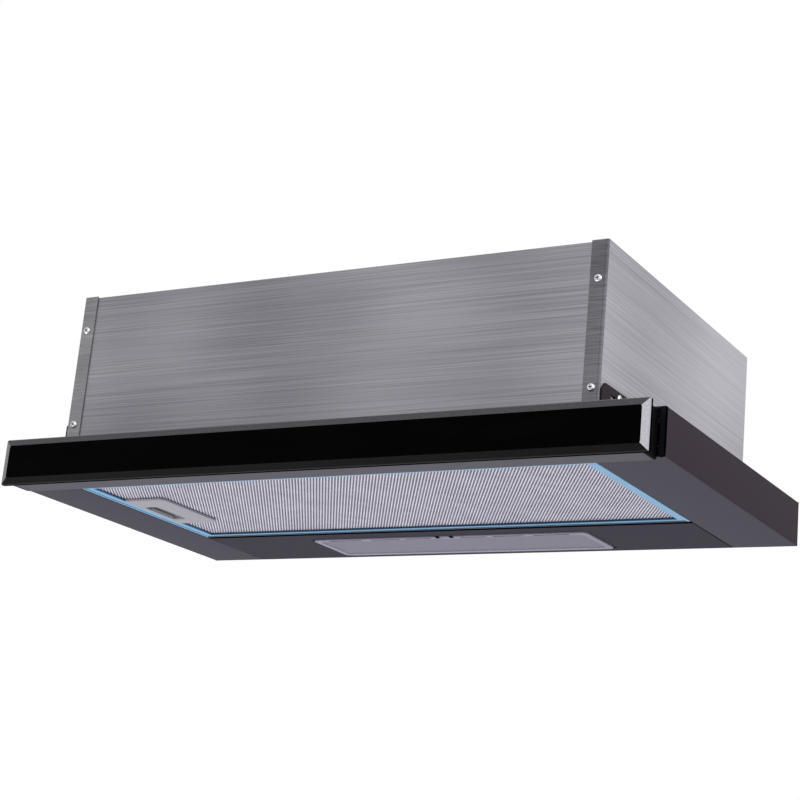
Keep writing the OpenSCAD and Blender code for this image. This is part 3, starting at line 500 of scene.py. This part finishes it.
def settled(made):
    """The piece with its modifiers worked into a plain mesh."""
    bpy.context.view_layer.update()
    result = made.evaluated_get(bpy.context.evaluated_depsgraph_get())
    made.data = bpy.data.meshes.new_from_object(result)
    made.modifiers.clear()
    return made


def grown(carrier, tree, values):
    """The carrier with the plain mesh that the tree makes from these values."""
    modifier = carrier.modifiers.new("grown", "NODES")
    modifier.node_group = tree
    for item in tree.interface.items_tree:
        if item.item_type == "SOCKET" and item.in_out == "INPUT" and item.name in values:
            modifier[item.identifier] = values[item.name]
    return settled(carrier)


# A lamp's body is moulded white plastic, slightly glossy
lamp_white = grained("moulded_lamp_body", "#e6e6e0", "#f2f2ee", 0.5, (0.4, 0.5))
# Silicone with phosphor in its window: soft yellow and faintly grainy
phosphor = grained("phosphor_silicone", "#dcc860", "#ecdc84", 0.4, (0.3, 0.4))
# Shares of the lamp's side and height: the window's radius, and how far it drops
window_radius, window_drop = 0.36, -0.12
tree, given = new_growth("row_of_lamps", {
    "Count": "Int", "Pitch": "Float", "Start": "Vector", "Lamp Side": "Float", "Lamp Height": "Float",
    "Body": "Material", "Window": "Material"})
step = add(tree, "ShaderNodeCombineXYZ", {"X": given["Pitch"]})
row = add(tree, "GeometryNodeMeshLine", {
    "Count": given["Count"], "Start Location": given["Start"], "Offset": step.outputs[0]}, mode="OFFSET")
size = add(tree, "ShaderNodeCombineXYZ", {
    "X": given["Lamp Side"], "Y": given["Lamp Side"], "Z": given["Lamp Height"]})
cube = add(tree, "GeometryNodeMeshCube", {"Size": size.outputs[0]})
radius = add(tree, "ShaderNodeMath", {0: given["Lamp Side"], 1: window_radius}, operation="MULTIPLY")
window = add(tree, "GeometryNodeMeshCylinder", {
    "Vertices": 16, "Radius": radius.outputs[0], "Depth": given["Lamp Height"]})
drop = add(tree, "ShaderNodeMath", {0: given["Lamp Height"], 1: window_drop}, operation="MULTIPLY")
low = add(tree, "ShaderNodeCombineXYZ", {"Z": drop.outputs[0]})
lowered = add(tree, "GeometryNodeTransform", {
    "Geometry": window.outputs["Mesh"], "Translation": low.outputs[0]})
both = add(tree, "GeometryNodeJoinGeometry")
for shape, label in ((cube.outputs["Mesh"], "Body"), (lowered.outputs[0], "Window")):
    copies = add(tree, "GeometryNodeInstanceOnPoints", {"Points": row.outputs[0], "Instance": shape})
    real = add(tree, "GeometryNodeRealizeInstances", {"Geometry": copies.outputs[0]})
    done = add(tree, "GeometryNodeSetMaterial", {"Geometry": real.outputs[0], "Material": given[label]})
    tree.links.new(done.outputs[0], both.inputs[0])
add(tree, "NodeGroupOutput", {"Geometry": both.outputs[0]})
lamp_count, lamp_side, lamp_height = 12, 3.5, 1.4
lamp_pitch = 2 * board_half / lamp_count
lamps = grown(solid("board_lamps"), tree, {
    "Count": lamp_count, "Pitch": lamp_pitch / 1000,
    "Start": at(-lamp_pitch * (lamp_count - 1) / 2, board_y, board_foot - lamp_height / 2),
    "Lamp Side": lamp_side / 1000, "Lamp Height": lamp_height / 1000, "Body": lamp_white, "Window": phosphor})
place_on(lamps, "hood", "led_board")

# Acrylic, diffused by fine prisms on its inside: a milky lavender grey, glossy outside. Its rim has no
# prisms and looks paler.
acrylic = grained("diffusing_acrylic", "#625f78", "#67647d", 200, (0.22, 0.3),
                  settings={"IOR": 1.3, "Transmission Weight": 0.05})
clear_rim = grained("plain_acrylic_rim", "#838096", "#8b889e", 200, (0.18, 0.26),
                    settings={"IOR": 1.3, "Transmission Weight": 0.1})
# The walls of its notches and slots are painted a dull dark grey: painted shade
painted_shade_slot = grained("lamp_slots_painted_shade", "#15141c", "#24232c", 1, (0.7, 0.85), settings={"IOR": 1.2})
lens_finishes = [clear_rim, painted_shade_slot, acrylic]
lens_half, lens_front, lens_rear = 138, 249, 311
# Inset, corner radius and height of each ring of the dish, from its open top over the rim to the
# low ridge that frames its face; the wall inside the ridge is diffusing, as the face is
dish_profile = [(2, 3, 5.2), (2, 3, 7), (0.3, 5, 7), (0, 5, 6.7), (0, 5, 3.5), (0.3, 4.8, 3.1),
                (0.9, 4.4, 3.0), (5.4, 3.2, 3.0), (6.0, 3, 3.5), (7.0, 2.8, 3.5)]
lens = lofted("lamp_cover", [
    [at(x, y, z) for x, y in rounded(inset - lens_half, lens_half - inset, lens_front + inset,
                                     lens_rear - inset, radius)]
    for inset, radius, z in dish_profile], lens_finishes,
    lambda ring, i: 2 if ring == len(dish_profile) - 2 else 0)


def add_box(work, middle, size):
    """A box in mm, added to the mesh that is being worked on."""
    for v in bmesh.ops.create_cube(work, size=1.0)["verts"]:
        v.co = at(*(m + s * c for m, s, c in zip(middle, size, v.co)))


def cut_out(made, cutter):
    """The cutter's shape comes out of the piece and leaves its own finish on the cut faces."""
    cut = made.modifiers.new("cut", "BOOLEAN")
    cut.operation, cut.object, cut.solver = "DIFFERENCE", cutter, "EXACT"
    settled(made)
    bpy.data.objects.remove(cutter)


# Two notches in the front edge leave the tab that a fingernail pulls down, and slots beside it let
# the warm air out. Middle, distance behind the front edge, length and width of each:
openings = [(x, 1.2, 4.2, 5.6) for x in (-7, 7)]
openings += [(sign * x, 3.1, length, 1.7)
             for sign in (-1, 1) for x, length in ((28, 26), (62, 30), (104, 34))]
cutter = solid("lens_openings", materials=lens_finishes)
work = bmesh.new()
cut_height, cut_depth = 5, 8
for x, y, length, width in openings:
    add_box(work, (x, lens_front + y, cut_height), (length, width, cut_depth))
bmesh.ops.recalc_face_normals(work, faces=work.faces)
# The cut walls take the painted shade
for face in work.faces:
    face.material_index = 1
work.to_mesh(cutter.data)
work.free()
cut_out(lens, cutter)
smooth(lens, 35)
place_on(lens, "lamp_lens", "lens_clear", "lamp_lens")

# ------------------------------------------------------------ main filter: frame
# Aluminium channel, lacquered blue, folded to a stepped section with mitred corners and two
# tongues at the right that hook into the canopy.
# Coil-coated aluminium: smooth sky-blue lacquer with drawing lines of about 0.5 mm along it
blue_lacquer = grained("blue_lacquered_aluminium", "#64a6d3", "#79b8e2", (40, 40, 0.5), (0.28, 0.4),
                       settings={"Metallic": 0.25, "Coat Weight": 0.3, "Coat Roughness": 0.2})
# The same lacquer, painted a dull navy on some walls: painted shade
painted_shade_lacquer = grained("blue_lacquer_painted_shade", "#16283c", "#22405c", (30, 30, 0.6), (0.4, 0.55),
                       settings={"Metallic": 0.25})
# On the step and the low part of the inner wall it is painted only a little darker than on the flats: a
# lighter painted shade
painted_half_shade_lacquer = grained("blue_lacquer_painted_half_shade", "#3d7eae", "#4b8fbf", (30, 30, 0.6), (0.35, 0.5),
                        settings={"Metallic": 0.25})
filter_x, filter_front, filter_rear = 241.4, 38, 226.5
rim_front, rim_side, rim_rear = 6, 9, 6.5
# The channel's section: mm inwards from its outer face, share of the rim's width added, height,
# and the lacquer on the wall from there to the next point: plain, painted shade or lighter painted shade
section = [(0, 0, 12, 0), (0, 0, 4.4, 0), (0.2, 0, 4.2, 0), (2.3, 0, 4.2, 2), (2.5, 0, 4.7, 0),
           (-0.2, 1, 4.7, 2), (0, 1, 4.9, 2), (0, 1, 5.9, 1), (0, 1, 12, 1)]
points = []
for inward, share, z, _ in section:
    x0, y0 = filter_x - inward - share * rim_side, filter_front + inward + share * rim_front
    y1 = filter_rear - inward - share * rim_rear
    points += [at(x, y, z) for x, y in ((x0, y0), (x0, y1), (-x0, y1), (-x0, y0))]
# The rear leg's outer ridge and inner wall take the painted shade as well
rear_leg, painted_shade_walls = 1, (2, 3, 6)
faces, which = [], []
for r in range(len(section)):
    for i in range(4):
        j, n = (i + 1) % 4, (r + 1) % len(section)
        faces.append((r * 4 + i, r * 4 + j, n * 4 + j, n * 4 + i))
        which.append(1 if i == rear_leg and r in painted_shade_walls else section[r][3])
channel = solid("filter_channel", points, faces, [blue_lacquer, painted_shade_lacquer, painted_half_shade_lacquer], which)
work = bmesh.new()
work.from_mesh(channel.data)
tongue_size, tongue_height = (6, 16, 2), 8
for tongue_y in (96, 184):
    add_box(work, (filter_x + 2, tongue_y, tongue_height), tongue_size)
bmesh.ops.recalc_face_normals(work, faces=work.faces)
work.to_mesh(channel.data)
work.free()
edges = channel.modifiers.new("edges", "BEVEL")
edges.width, edges.segments, edges.limit_method = 0.15 / 1000, 2, "ANGLE"
place_on(channel, "hood", "filter_blue", "filter_frame")

# ------------------------------------------------------------ filters: expanded mesh
# Layers of expanded aluminium foil: each strand is cut and pulled from the sheet and stands
# tilted, so that one family of strands catches the light and the other stays dim; the two are painted lighter
# and darker as well.
# Pitches and strands are in metres. The points between Bare From and Bare To get no strands.
tree, given = new_growth("expanded_mesh", {
    "Columns": "Int", "Rows": "Int", "Pitch X": "Float", "Pitch Y": "Float", "Centre": "Vector",
    "Strand": "Float", "Tilt": "Float", "Bare From": "Vector", "Bare To": "Vector",
    "Bright Finish": "Material", "Dim Finish": "Material"})
spans = []
for count, pitch in (("Columns", "Pitch X"), ("Rows", "Pitch Y")):
    gaps = add(tree, "ShaderNodeMath", {0: given[count], 1: -1.0}, operation="ADD")
    spans.append(add(tree, "ShaderNodeMath", {0: gaps.outputs[0], 1: given[pitch]}, operation="MULTIPLY"))
grid = add(tree, "GeometryNodeMeshGrid", {
    "Size X": spans[0].outputs[0], "Size Y": spans[1].outputs[0],
    "Vertices X": given["Columns"], "Vertices Y": given["Rows"]})
laid = add(tree, "GeometryNodeTransform", {"Geometry": grid.outputs[0], "Translation": given["Centre"]})
spot = add(tree, "ShaderNodeSeparateXYZ", {"Vector": add(tree, "GeometryNodeInputPosition").outputs[0]})
first = add(tree, "ShaderNodeSeparateXYZ", {"Vector": given["Bare From"]})
last = add(tree, "ShaderNodeSeparateXYZ", {"Vector": given["Bare To"]})
kept = None
for axis in ("X", "Y"):
    for test, edge in (("LESS_THAN", first), ("GREATER_THAN", last)):
        outside = add(tree, "FunctionNodeCompare", {0: spot.outputs[axis], 1: edge.outputs[axis]},
                      data_type="FLOAT", operation=test)
        kept = outside if kept is None else add(
            tree, "FunctionNodeBooleanMath", {0: kept.outputs[0], 1: outside.outputs[0]}, operation="OR")
both = add(tree, "GeometryNodeJoinGeometry")
# The dim family is drawn thinner, because it shows less of its width
for lean, share, label in ((-0.5, 1.0, "Bright Finish"), (0.5, 0.7, "Dim Finish")):
    half_x = add(tree, "ShaderNodeMath", {0: given["Pitch X"], 1: lean}, operation="MULTIPLY")
    half_y = add(tree, "ShaderNodeMath", {0: given["Pitch Y"], 1: 0.5}, operation="MULTIPLY")
    far = add(tree, "ShaderNodeCombineXYZ", {"X": half_x.outputs[0], "Y": half_y.outputs[0]})
    near = add(tree, "ShaderNodeVectorMath", {0: far.outputs[0], "Scale": -1.0}, operation="SCALE")
    line = add(tree, "GeometryNodeCurvePrimitiveLine", {"Start": near.outputs[0], "End": far.outputs[0]})
    tilted = add(tree, "GeometryNodeSetCurveTilt", {"Curve": line.outputs[0], "Tilt": given["Tilt"]})
    width = add(tree, "ShaderNodeMath", {0: given["Strand"], 1: share}, operation="MULTIPLY")
    ring = add(tree, "GeometryNodeCurvePrimitiveCircle", {"Resolution": 3, "Radius": width.outputs[0]})
    strand = add(tree, "GeometryNodeCurveToMesh", {
        "Curve": tilted.outputs[0], "Profile Curve": ring.outputs[0], "Fill Caps": True})
    copies = add(tree, "GeometryNodeInstanceOnPoints", {
        "Points": laid.outputs[0], "Selection": kept.outputs[0], "Instance": strand.outputs[0]})
    real = add(tree, "GeometryNodeRealizeInstances", {"Geometry": copies.outputs[0]})
    done = add(tree, "GeometryNodeSetMaterial", {"Geometry": real.outputs[0], "Material": given[label]})
    tree.links.new(done.outputs[0], both.inputs[0])
flat = add(tree, "GeometryNodeSetShadeSmooth", {"Geometry": both.outputs[0], "Shade Smooth": False})
add(tree, "NodeGroupOutput", {"Geometry": flat.outputs[0]})

# Rolled aluminium foil with patches of thin grease haze about 20 mm across, painted bright for the family
# that faces the light: painted light
painted_light_foil = grained("aluminium_foil_painted_light", "#dedaeb", "#ede9f7", 20, (0.35, 0.5), settings={"Metallic": 0.3})
# The strands that lean away from the light, and the layers behind: painted darker and duller, as painted
# shade
painted_shade_foil = grained("shaded_aluminium_foil", "#aba8b8", "#bfbcca", 20, (0.4, 0.55), settings={"Metallic": 0.3})
painted_shade_back_foil = grained("inner_foil_layers_painted_shade", "#9893a6", "#b1acbd", (3, 4.6, 3), (0.5, 0.7), 0.1,
                    {"Metallic": 0.2})
foils = {"Tilt": 0.5, "Bright Finish": painted_light_foil, "Dim Finish": painted_shade_foil}
mesh_pitch_x, mesh_pitch_y = 2.94 / 1000, 4.65 / 1000
# The handle plate takes the place of the mesh between these
plate_end, plate_front, plate_rear = -204, 108, 159
mesh = grown(solid("filter_mesh"), tree, {
    "Columns": 158, "Rows": 38, "Pitch X": mesh_pitch_x, "Pitch Y": mesh_pitch_y,
    "Centre": at(0, 132, 7.0), "Strand": 0.0006,
    "Bare From": at(-242, plate_front, 0), "Bare To": at(plate_end, plate_rear, 0), **foils})
place_on(mesh, "hood", "filter_mesh", "filter_net")
# The layers behind fill the channel in three blocks round the plate, 1 mm under its edges
layers_x, layers_front, layers_rear = filter_x - 4, filter_front + 4, filter_rear - 4
layers_height, layers_thickness = 8.1, 0.6
backing = solid("filter_inner_layers", materials=[painted_shade_back_foil])
work = bmesh.new()
for x0, x1, y0, y1 in ((plate_end, layers_x, layers_front, layers_rear),
                       (-layers_x, plate_end, layers_front, plate_front + 1),
                       (-layers_x, plate_end, plate_rear - 1, layers_rear)):
    add_box(work, ((x0 + x1) / 2, (y0 + y1) / 2, layers_height), (x1 - x0, y1 - y0, layers_thickness))
work.to_mesh(backing.data)
work.free()
place_on(backing, "hood", "filter_mesh")

# ------------------------------------------------------------ main filter: handle plate and latch
# A plate pressed from sheet, painted grey and fixed to the left end of the frame, with a hole
# for a finger. A sprung slider moulded in acetal runs behind it, and its grip shows in the hole.
# Stoved paint: a pale lavender grey with a low sheen and a slight orange peel of about 1.5 mm
plate_paint = grained("stoved_grey_paint", "#9896a1", "#a5a3ae", 1.5, (0.35, 0.48), 0.02)
dressed("filter_handle", plate_paint, "handle_grey", 0.35)
# Moulded acetal: a darker grey with a dull sheen
latch_acetal = grained("moulded_acetal", "#66646a", "#747279", 1, (0.4, 0.5), 0.02)
dressed("filter_latch", latch_acetal, "latch_grey", 0.3)

# ------------------------------------------------------------ tray filter
# A second filter of the same construction, which the tray carries on its arms. Its frame and
# its mesh, twice as coarse, are left in plain aluminium.
# Mill-finish aluminium: bright, with rolling lines about 0.6 mm apart
mill_aluminium = grained("mill_finish_aluminium", "#a9abb1", "#bfc1c6", (0.6, 60, 0.6), (0.3, 0.42),
                         settings={"Metallic": 1.0})
dressed("tray_filter_frame", mill_aluminium, "filter_plain", 0.3)
off_the_mesh = at(-900, -900, 0)
tray_mesh = grown(solid("tray_filter_mesh"), tree, {
    "Columns": 84, "Rows": 17, "Pitch X": 2 * mesh_pitch_x, "Pitch Y": 2 * mesh_pitch_y,
    "Centre": at(0, 128, 17.2), "Strand": 0.0007,
    "Bare From": off_the_mesh, "Bare To": off_the_mesh, **foils})
place_on(tray_mesh, "tray", "filter_mesh", "tray_filter_net")


# ------------------------------------------------------------ body: panels
# Sides and front are brushed stainless steel, each side folded round both corners so that its
# turned edge laps over the front. Floor, back and top are galvanised.
def brushed(name, dark, light, scratch, sheen, rough):
    """Brushed steel: scratches in two lengths over a slow change of painted sheen, broad lighter and darker
    patches in the colour.

    The short scratches and the painted sheen are given in mm along X, Y and Z.
    """
    material, tree, place = new_finish(name)
    fields = []
    for size, detail in ((scratch, 2.0), ([3 * s for s in scratch], 1.0), (sheen, 1.0)):
        scaled = add(tree, "ShaderNodeMapping", {"Vector": place, "Scale": [1000 / s for s in size]})
        noise = add(tree, "ShaderNodeTexNoise",
                    {"Vector": scaled.outputs[0], "Scale": 1.0, "Detail": detail, "Roughness": 0.7})
        fields.append(noise.outputs["Fac"])
    short, long, slow = fields
    lines = add(tree, "ShaderNodeMix", {0: 0.35, 2: short, 3: long}, data_type="FLOAT")
    blend = add(tree, "ShaderNodeMix", {0: 0.4, 2: lines.outputs[0], 3: slow}, data_type="FLOAT")
    colour = add(tree, "ShaderNodeValToRGB", {"Fac": blend.outputs[0]}, stops=[(0.38, dark), (0.62, light)])
    gloss = add(tree, "ShaderNodeMapRange",
                {"Value": lines.outputs[0], "From Min": 0.3, "From Max": 0.7,
                 "To Min": rough[0], "To Max": rough[1]})
    relief = add(tree, "ShaderNodeBump", {"Height": lines.outputs[0], "Distance": 0.00004, "Strength": 0.5})
    return finished(material, tree, colour, gloss, relief, {"Metallic": 1.0})


# Belt-brushed stainless steel. The real scratches are 0.1 mm wide; they are drawn 0.4 mm wide to show.
front_steel = brushed("belt_brushed_steel_front", "#6a696f", "#9f9ea4", (160, 50, 0.42), (230, 100, 130),
                      (0.36, 0.5))
# The sides are the same steel as the front, painted paler: painted light from the right
side_steel_painted_light = brushed("belt_brushed_steel_side_painted_light", "#86838c", "#bab8c0", (50, 170, 0.42), (100, 300, 200),
                     (0.34, 0.48))
# On the turned edges the folding tool rubbed the scratches short and dull. The right strip is painted darker
# and the left one paler: painted shade and painted light.
right_strip_painted_shade = brushed("belt_brushed_steel_strip", "#525157", "#86858b", (24, 24, 0.42), (100, 100, 60),
                      (0.4, 0.55))
left_strip_painted_light = brushed("belt_brushed_steel_strip_left_painted_light", "#717174", "#a0a0a3", (24, 24, 0.42), (100, 100, 60),
                     (0.4, 0.55))
body_half, body_front, body_rear, body_foot, body_top = 250, 20, 317, 43, 172
strip_width, strip_depth, corner_bend = 14, 1.2, 1.4
# Distance from the side and depth of each point of the shallow groove along the strip
groove = [(3.1, 0), (2.75, 0.35), (2.4, 0.05)]
for side, sign, strip in (("left", -1, left_strip_painted_light), ("right", 1, right_strip_painted_shade)):
    path = [Vector((body_half - inward, body_front + deep)) for inward, deep in [(strip_width, 0)] + groove]
    path += bent([(body_half - 2.1, body_front), (body_half, body_front), (body_half, body_rear),
                  (body_half - strip_width, body_rear)], corner_bend)[1:]
    path = [Vector((sign * p.x, p.y)) for p in path]
    panel = folded("body_side_" + side, path, sign * sheet, (body_foot, body_top), "z", [side_steel_painted_light, strip])
    # The turned edge in front takes its strip's steel, with its painted shade or painted light
    for face in panel.data.polygons:
        face.material_index = 1 if face.center.y < at(0, body_front + strip_depth, 0).y else 0
    place_on(panel, "hood", "brushed_body", "side_panel_" + side)
dressed("front_panel", front_steel, "brushed_body", 0.25)
dressed("back_panel", zinc_sheet, "galvanised", 0.25)
# The floor's zinc has larger and darker crystals
deck_zinc = galvanised("hot_dip_galvanised_deck", "#93959a", "#a1a3a8", 7)
dressed("deck_plate", deck_zinc, "deck_steel", 0.25)
dressed("top_panel", zinc_sheet, "galvanised", 0.25)

# ------------------------------------------------------------ body: fixing brackets
# Pressed from steel sheet and dip-painted, one at the foot of each side. The leg is screwed to
# the body, and the ear with its slots reaches to the cupboard's side.
# Cathodic dip paint: black with a faint plum cast and a low sheen
black_coat = grained("cathodic_dip_black", "#181018", "#211821", 0.8, (0.45, 0.6), 0.03, {"IOR": 1.2})
for node in ("side_bracket_left", "side_bracket_right"):
    dressed(node, black_coat, "bracket_black", 0.25)

# ------------------------------------------------------------ duct collar and flaps
# A collar moulded in polypropylene, screwed to the top panel. Two half-round flaps of the same
# plastic turn on one plated pin, lift in the air stream and fall shut when it stops.
# Moulded polypropylene: black, and a lighter charcoal for the flaps, with a fine grain and a low sheen
collar_pp = grained("moulded_polypropylene_black", "#232326", "#303034", 0.8, (0.4, 0.55), 0.03)
flap_pp = grained("moulded_polypropylene_grey", "#333337", "#424247", 0.8, (0.4, 0.55), 0.03)
dressed("duct_collar", collar_pp, "collar_plastic", 0.3)
for node in ("flap_front", "flap_rear"):
    dressed(node, flap_pp, "flap_plastic", 0.2)
# Drawn steel wire, bright zinc plated: drawing lines along it
pin_steel = grained("drawn_zinc_plated_wire", "#b4b7be", "#cacdd3", (60, 0.3, 0.3), (0.22, 0.32),
                    settings={"Metallic": 1.0})
dressed("flap_pin", pin_steel, "shaft_steel", 0.15)

# ------------------------------------------------------------ blower
# Scroll halves, hopper and wheel are moulded; the motor is a pressed steel can on a galvanised
# three-armed holder with rubber mounts.
# Moulded polypropylene: off-white with a satin skin, and a little greyer for the hopper
scroll_pp = grained("moulded_polypropylene_white", "#cfcfd1", "#dddddf", 0.9, (0.38, 0.5), 0.02)
for node in ("scroll_left", "scroll_right"):
    dressed(node, scroll_pp, "scroll_plastic", 0.3)
hopper_pp = grained("moulded_polypropylene_hopper", "#bfbfc3", "#cdcdd1", 0.9, (0.38, 0.5), 0.02)
paint("outlet_adapter", hopper_pp)
# Glass-filled nylon: charcoal, with the fibres just showing as a mottle of about 1.2 mm
wheel_pa = grained("moulded_glass_filled_nylon", "#36373b", "#484a4e", 1.2, (0.42, 0.55), 0.02)
paint("impeller", wheel_pa)
# Ground steel: bright, with fine marks round the shaft
shaft_steel = grained("ground_shaft_steel", "#abadb3", "#c3c5ca", (0.3, 12, 12), (0.2, 0.3),
                      settings={"Metallic": 1.0})
dressed("rotor_shaft", shaft_steel, "shaft_steel", 0.2)
# Deep-drawn can, zinc plated: drawing marks along its axis
can_steel = grained("deep_drawn_zinc_can", "#74777e", "#8a8d94", (30, 0.8, 0.8), (0.3, 0.42),
                    settings={"Metallic": 1.0})
dressed("motor", can_steel, "motor_steel", 0.5)
dressed("motor_spider", zinc_sheet, "galvanised", 0.3)
paint("motor_grommets", rubber)

# ------------------------------------------------------------ electrical parts
# Capacitor in its clip and terminal box with connector block under the top panel, the cable
# gland through it, and at the back of the canopy the tray's switch. All are plastic mouldings.
# The capacitor's moulded case: a cool near-white, fairly glossy
case_plastic = grained("moulded_capacitor_case", "#d0d2d6", "#dfe1e4", 1, (0.35, 0.45), 0.02)
dressed("capacitor", case_plastic, "capacitor_plastic", 0.6)
# Moulded ABS: cream, with a fine grain
box_abs = grained("moulded_abs_cream", "#d8d6ce", "#e6e4dc", 0.9, (0.4, 0.5), 0.02)
dressed("terminal_box", box_abs, "box_plastic", 0.5)
# Moulded nylon: black and slightly waxy
gland_pa = grained("moulded_nylon_black", "#151517", "#202023", 0.7, (0.38, 0.5), 0.02)
dressed("cable_gland", gland_pa, "cap_plastic", 0.3)
dressed("tray_switch", gland_pa, "switch_plastic", 0.3)
# Moulded acetal: red, smooth and rather glossy
plunger_pom = grained("moulded_acetal_red", "#b52c24", "#c93c32", 1, (0.3, 0.4))
dressed("switch_plunger", plunger_pom, "plunger_red", 0.3)

# ------------------------------------------------------------ screws
# Nickel-plated pan-head screws with a cross recess: four at the body's corners, one in each
# bracket, four in the collar.
# Bright nickel: a clear, slightly cool mirror
bright_nickel = grained("bright_nickel_plate", "#c9c9ce", "#e6e6ea", 0.8, (0.12, 0.2),
                        settings={"Metallic": 1.0})
# In the recess: painted shade, a dull dark grey
painted_shade_nickel = grained("recess_nickel_painted_shade", "#2b2b2f", "#3c3c41", 0.8, (0.5, 0.6), settings={"IOR": 1.2})
# Radius and height of the head from its flat top to its underside
head_profile = [(1.3, 1.95), (2.2, 1.75), (2.85, 1.3), (3.2, 0.7), (3.2, 0.0)]
around = 24
angles = [2 * math.pi * i / around for i in range(around)]
work = bmesh.new()
rings = [[work.verts.new((r * math.cos(a) / 1000, r * math.sin(a) / 1000, z / 1000)) for a in angles]
         for r, z in head_profile]
for inner, outer in zip(rings, rings[1:]):
    for i in range(around):
        j = (i + 1) % around
        work.faces.new((inner[i], outer[i], outer[j], inner[j]))
work.faces.new(rings[0])
work.faces.new(rings[-1][::-1])
head = solid("screw_head", materials=[bright_nickel, painted_shade_nickel])
work.to_mesh(head.data)
work.free()
recess_half, recess_reach, recess_foot, above_head = 0.38, 1.75, 0.7, 2.6
cross = []
for turns in range(4):
    for x, y in ((recess_half, recess_half), (recess_half, recess_reach), (-recess_half, recess_reach)):
        for _ in range(turns):
            x, y = -y, x
        cross.append((x, y))
cutter = lofted("screw_recess", [[(x / 1000, y / 1000, z / 1000) for x, y in cross]
                                 for z in (recess_foot, above_head)], [bright_nickel, painted_shade_nickel])
for face in cutter.data.polygons:
    face.material_index = 1
cut_out(head, cutter)

# Each seat's place and the way its screw faces: body corners, brackets, collar
seats = [(at(sign * 243, body_front, z), (0, -1, 0)) for sign in (-1, 1) for z in (56, 141)]
seats += [(at(sign * 251.5, 51, 55.5), (sign, 0, 0)) for sign in (-1, 1)]
collar_y, collar_circle, flange_top = 168.5, 70, 173.5
for a in [math.radians(degrees) for degrees in (45, 135, 225, 315)]:
    place = at(collar_circle * math.cos(a), collar_y + collar_circle * math.sin(a), flange_top)
    seats.append((place, (0, 0, 1)))
screws = solid("pan_screws", [place for place, _ in seats])
facing = screws.data.attributes.new("facing", "FLOAT_VECTOR", "POINT")
facing.data.foreach_set("vector", [c for _, way in seats for c in way])
quarter_turn = 1.57
tree, given = new_growth("screws_on_seats", {
    "Seats": "Geometry", "Screw": "Object", "Seed": "Int", "Finish": "Material", "Recess": "Material"})
way = add(tree, "GeometryNodeInputNamedAttribute", {"Name": "facing"}, data_type="FLOAT_VECTOR")
stand = add(tree, "FunctionNodeAlignRotationToVector", {"Vector": way.outputs[0]}, axis="Z")
spin = add(tree, "FunctionNodeRandomValue", {2: 0.0, 3: quarter_turn, "Seed": given["Seed"]},
           data_type="FLOAT")
about = add(tree, "FunctionNodeAxisAngleToRotation", {"Axis": (0, 0, 1), "Angle": spin.outputs[1]})
turned = add(tree, "FunctionNodeRotateRotation", {0: stand.outputs[0], 1: about.outputs[0]},
             rotation_space="LOCAL")
model = add(tree, "GeometryNodeObjectInfo", {"Object": given["Screw"]}, transform_space="ORIGINAL")
copies = add(tree, "GeometryNodeInstanceOnPoints", {
    "Points": given["Seats"], "Instance": model.outputs["Geometry"], "Rotation": turned.outputs[0]})
real = add(tree, "GeometryNodeRealizeInstances", {"Geometry": copies.outputs[0]})
index = add(tree, "GeometryNodeInputMaterialIndex")
sunk = add(tree, "FunctionNodeCompare", {2: index.outputs[0], 3: 0},
           data_type="INT", operation="GREATER_THAN")
proud = add(tree, "FunctionNodeBooleanMath", {0: sunk.outputs[0]}, operation="NOT")
done = real
for faces, label in ((proud, "Finish"), (sunk, "Recess")):
    done = add(tree, "GeometryNodeSetMaterial", {
        "Geometry": done.outputs[0], "Selection": faces.outputs[0], "Material": given[label]})
add(tree, "NodeGroupOutput", {"Geometry": done.outputs[0]})
grown(screws, tree, {"Screw": head, "Seed": 7, "Finish": bright_nickel, "Recess": painted_shade_nickel})
bpy.data.objects.remove(head)
smooth(screws, 30)
place_on(screws, "hood", "screw_steel", "panel_screws")
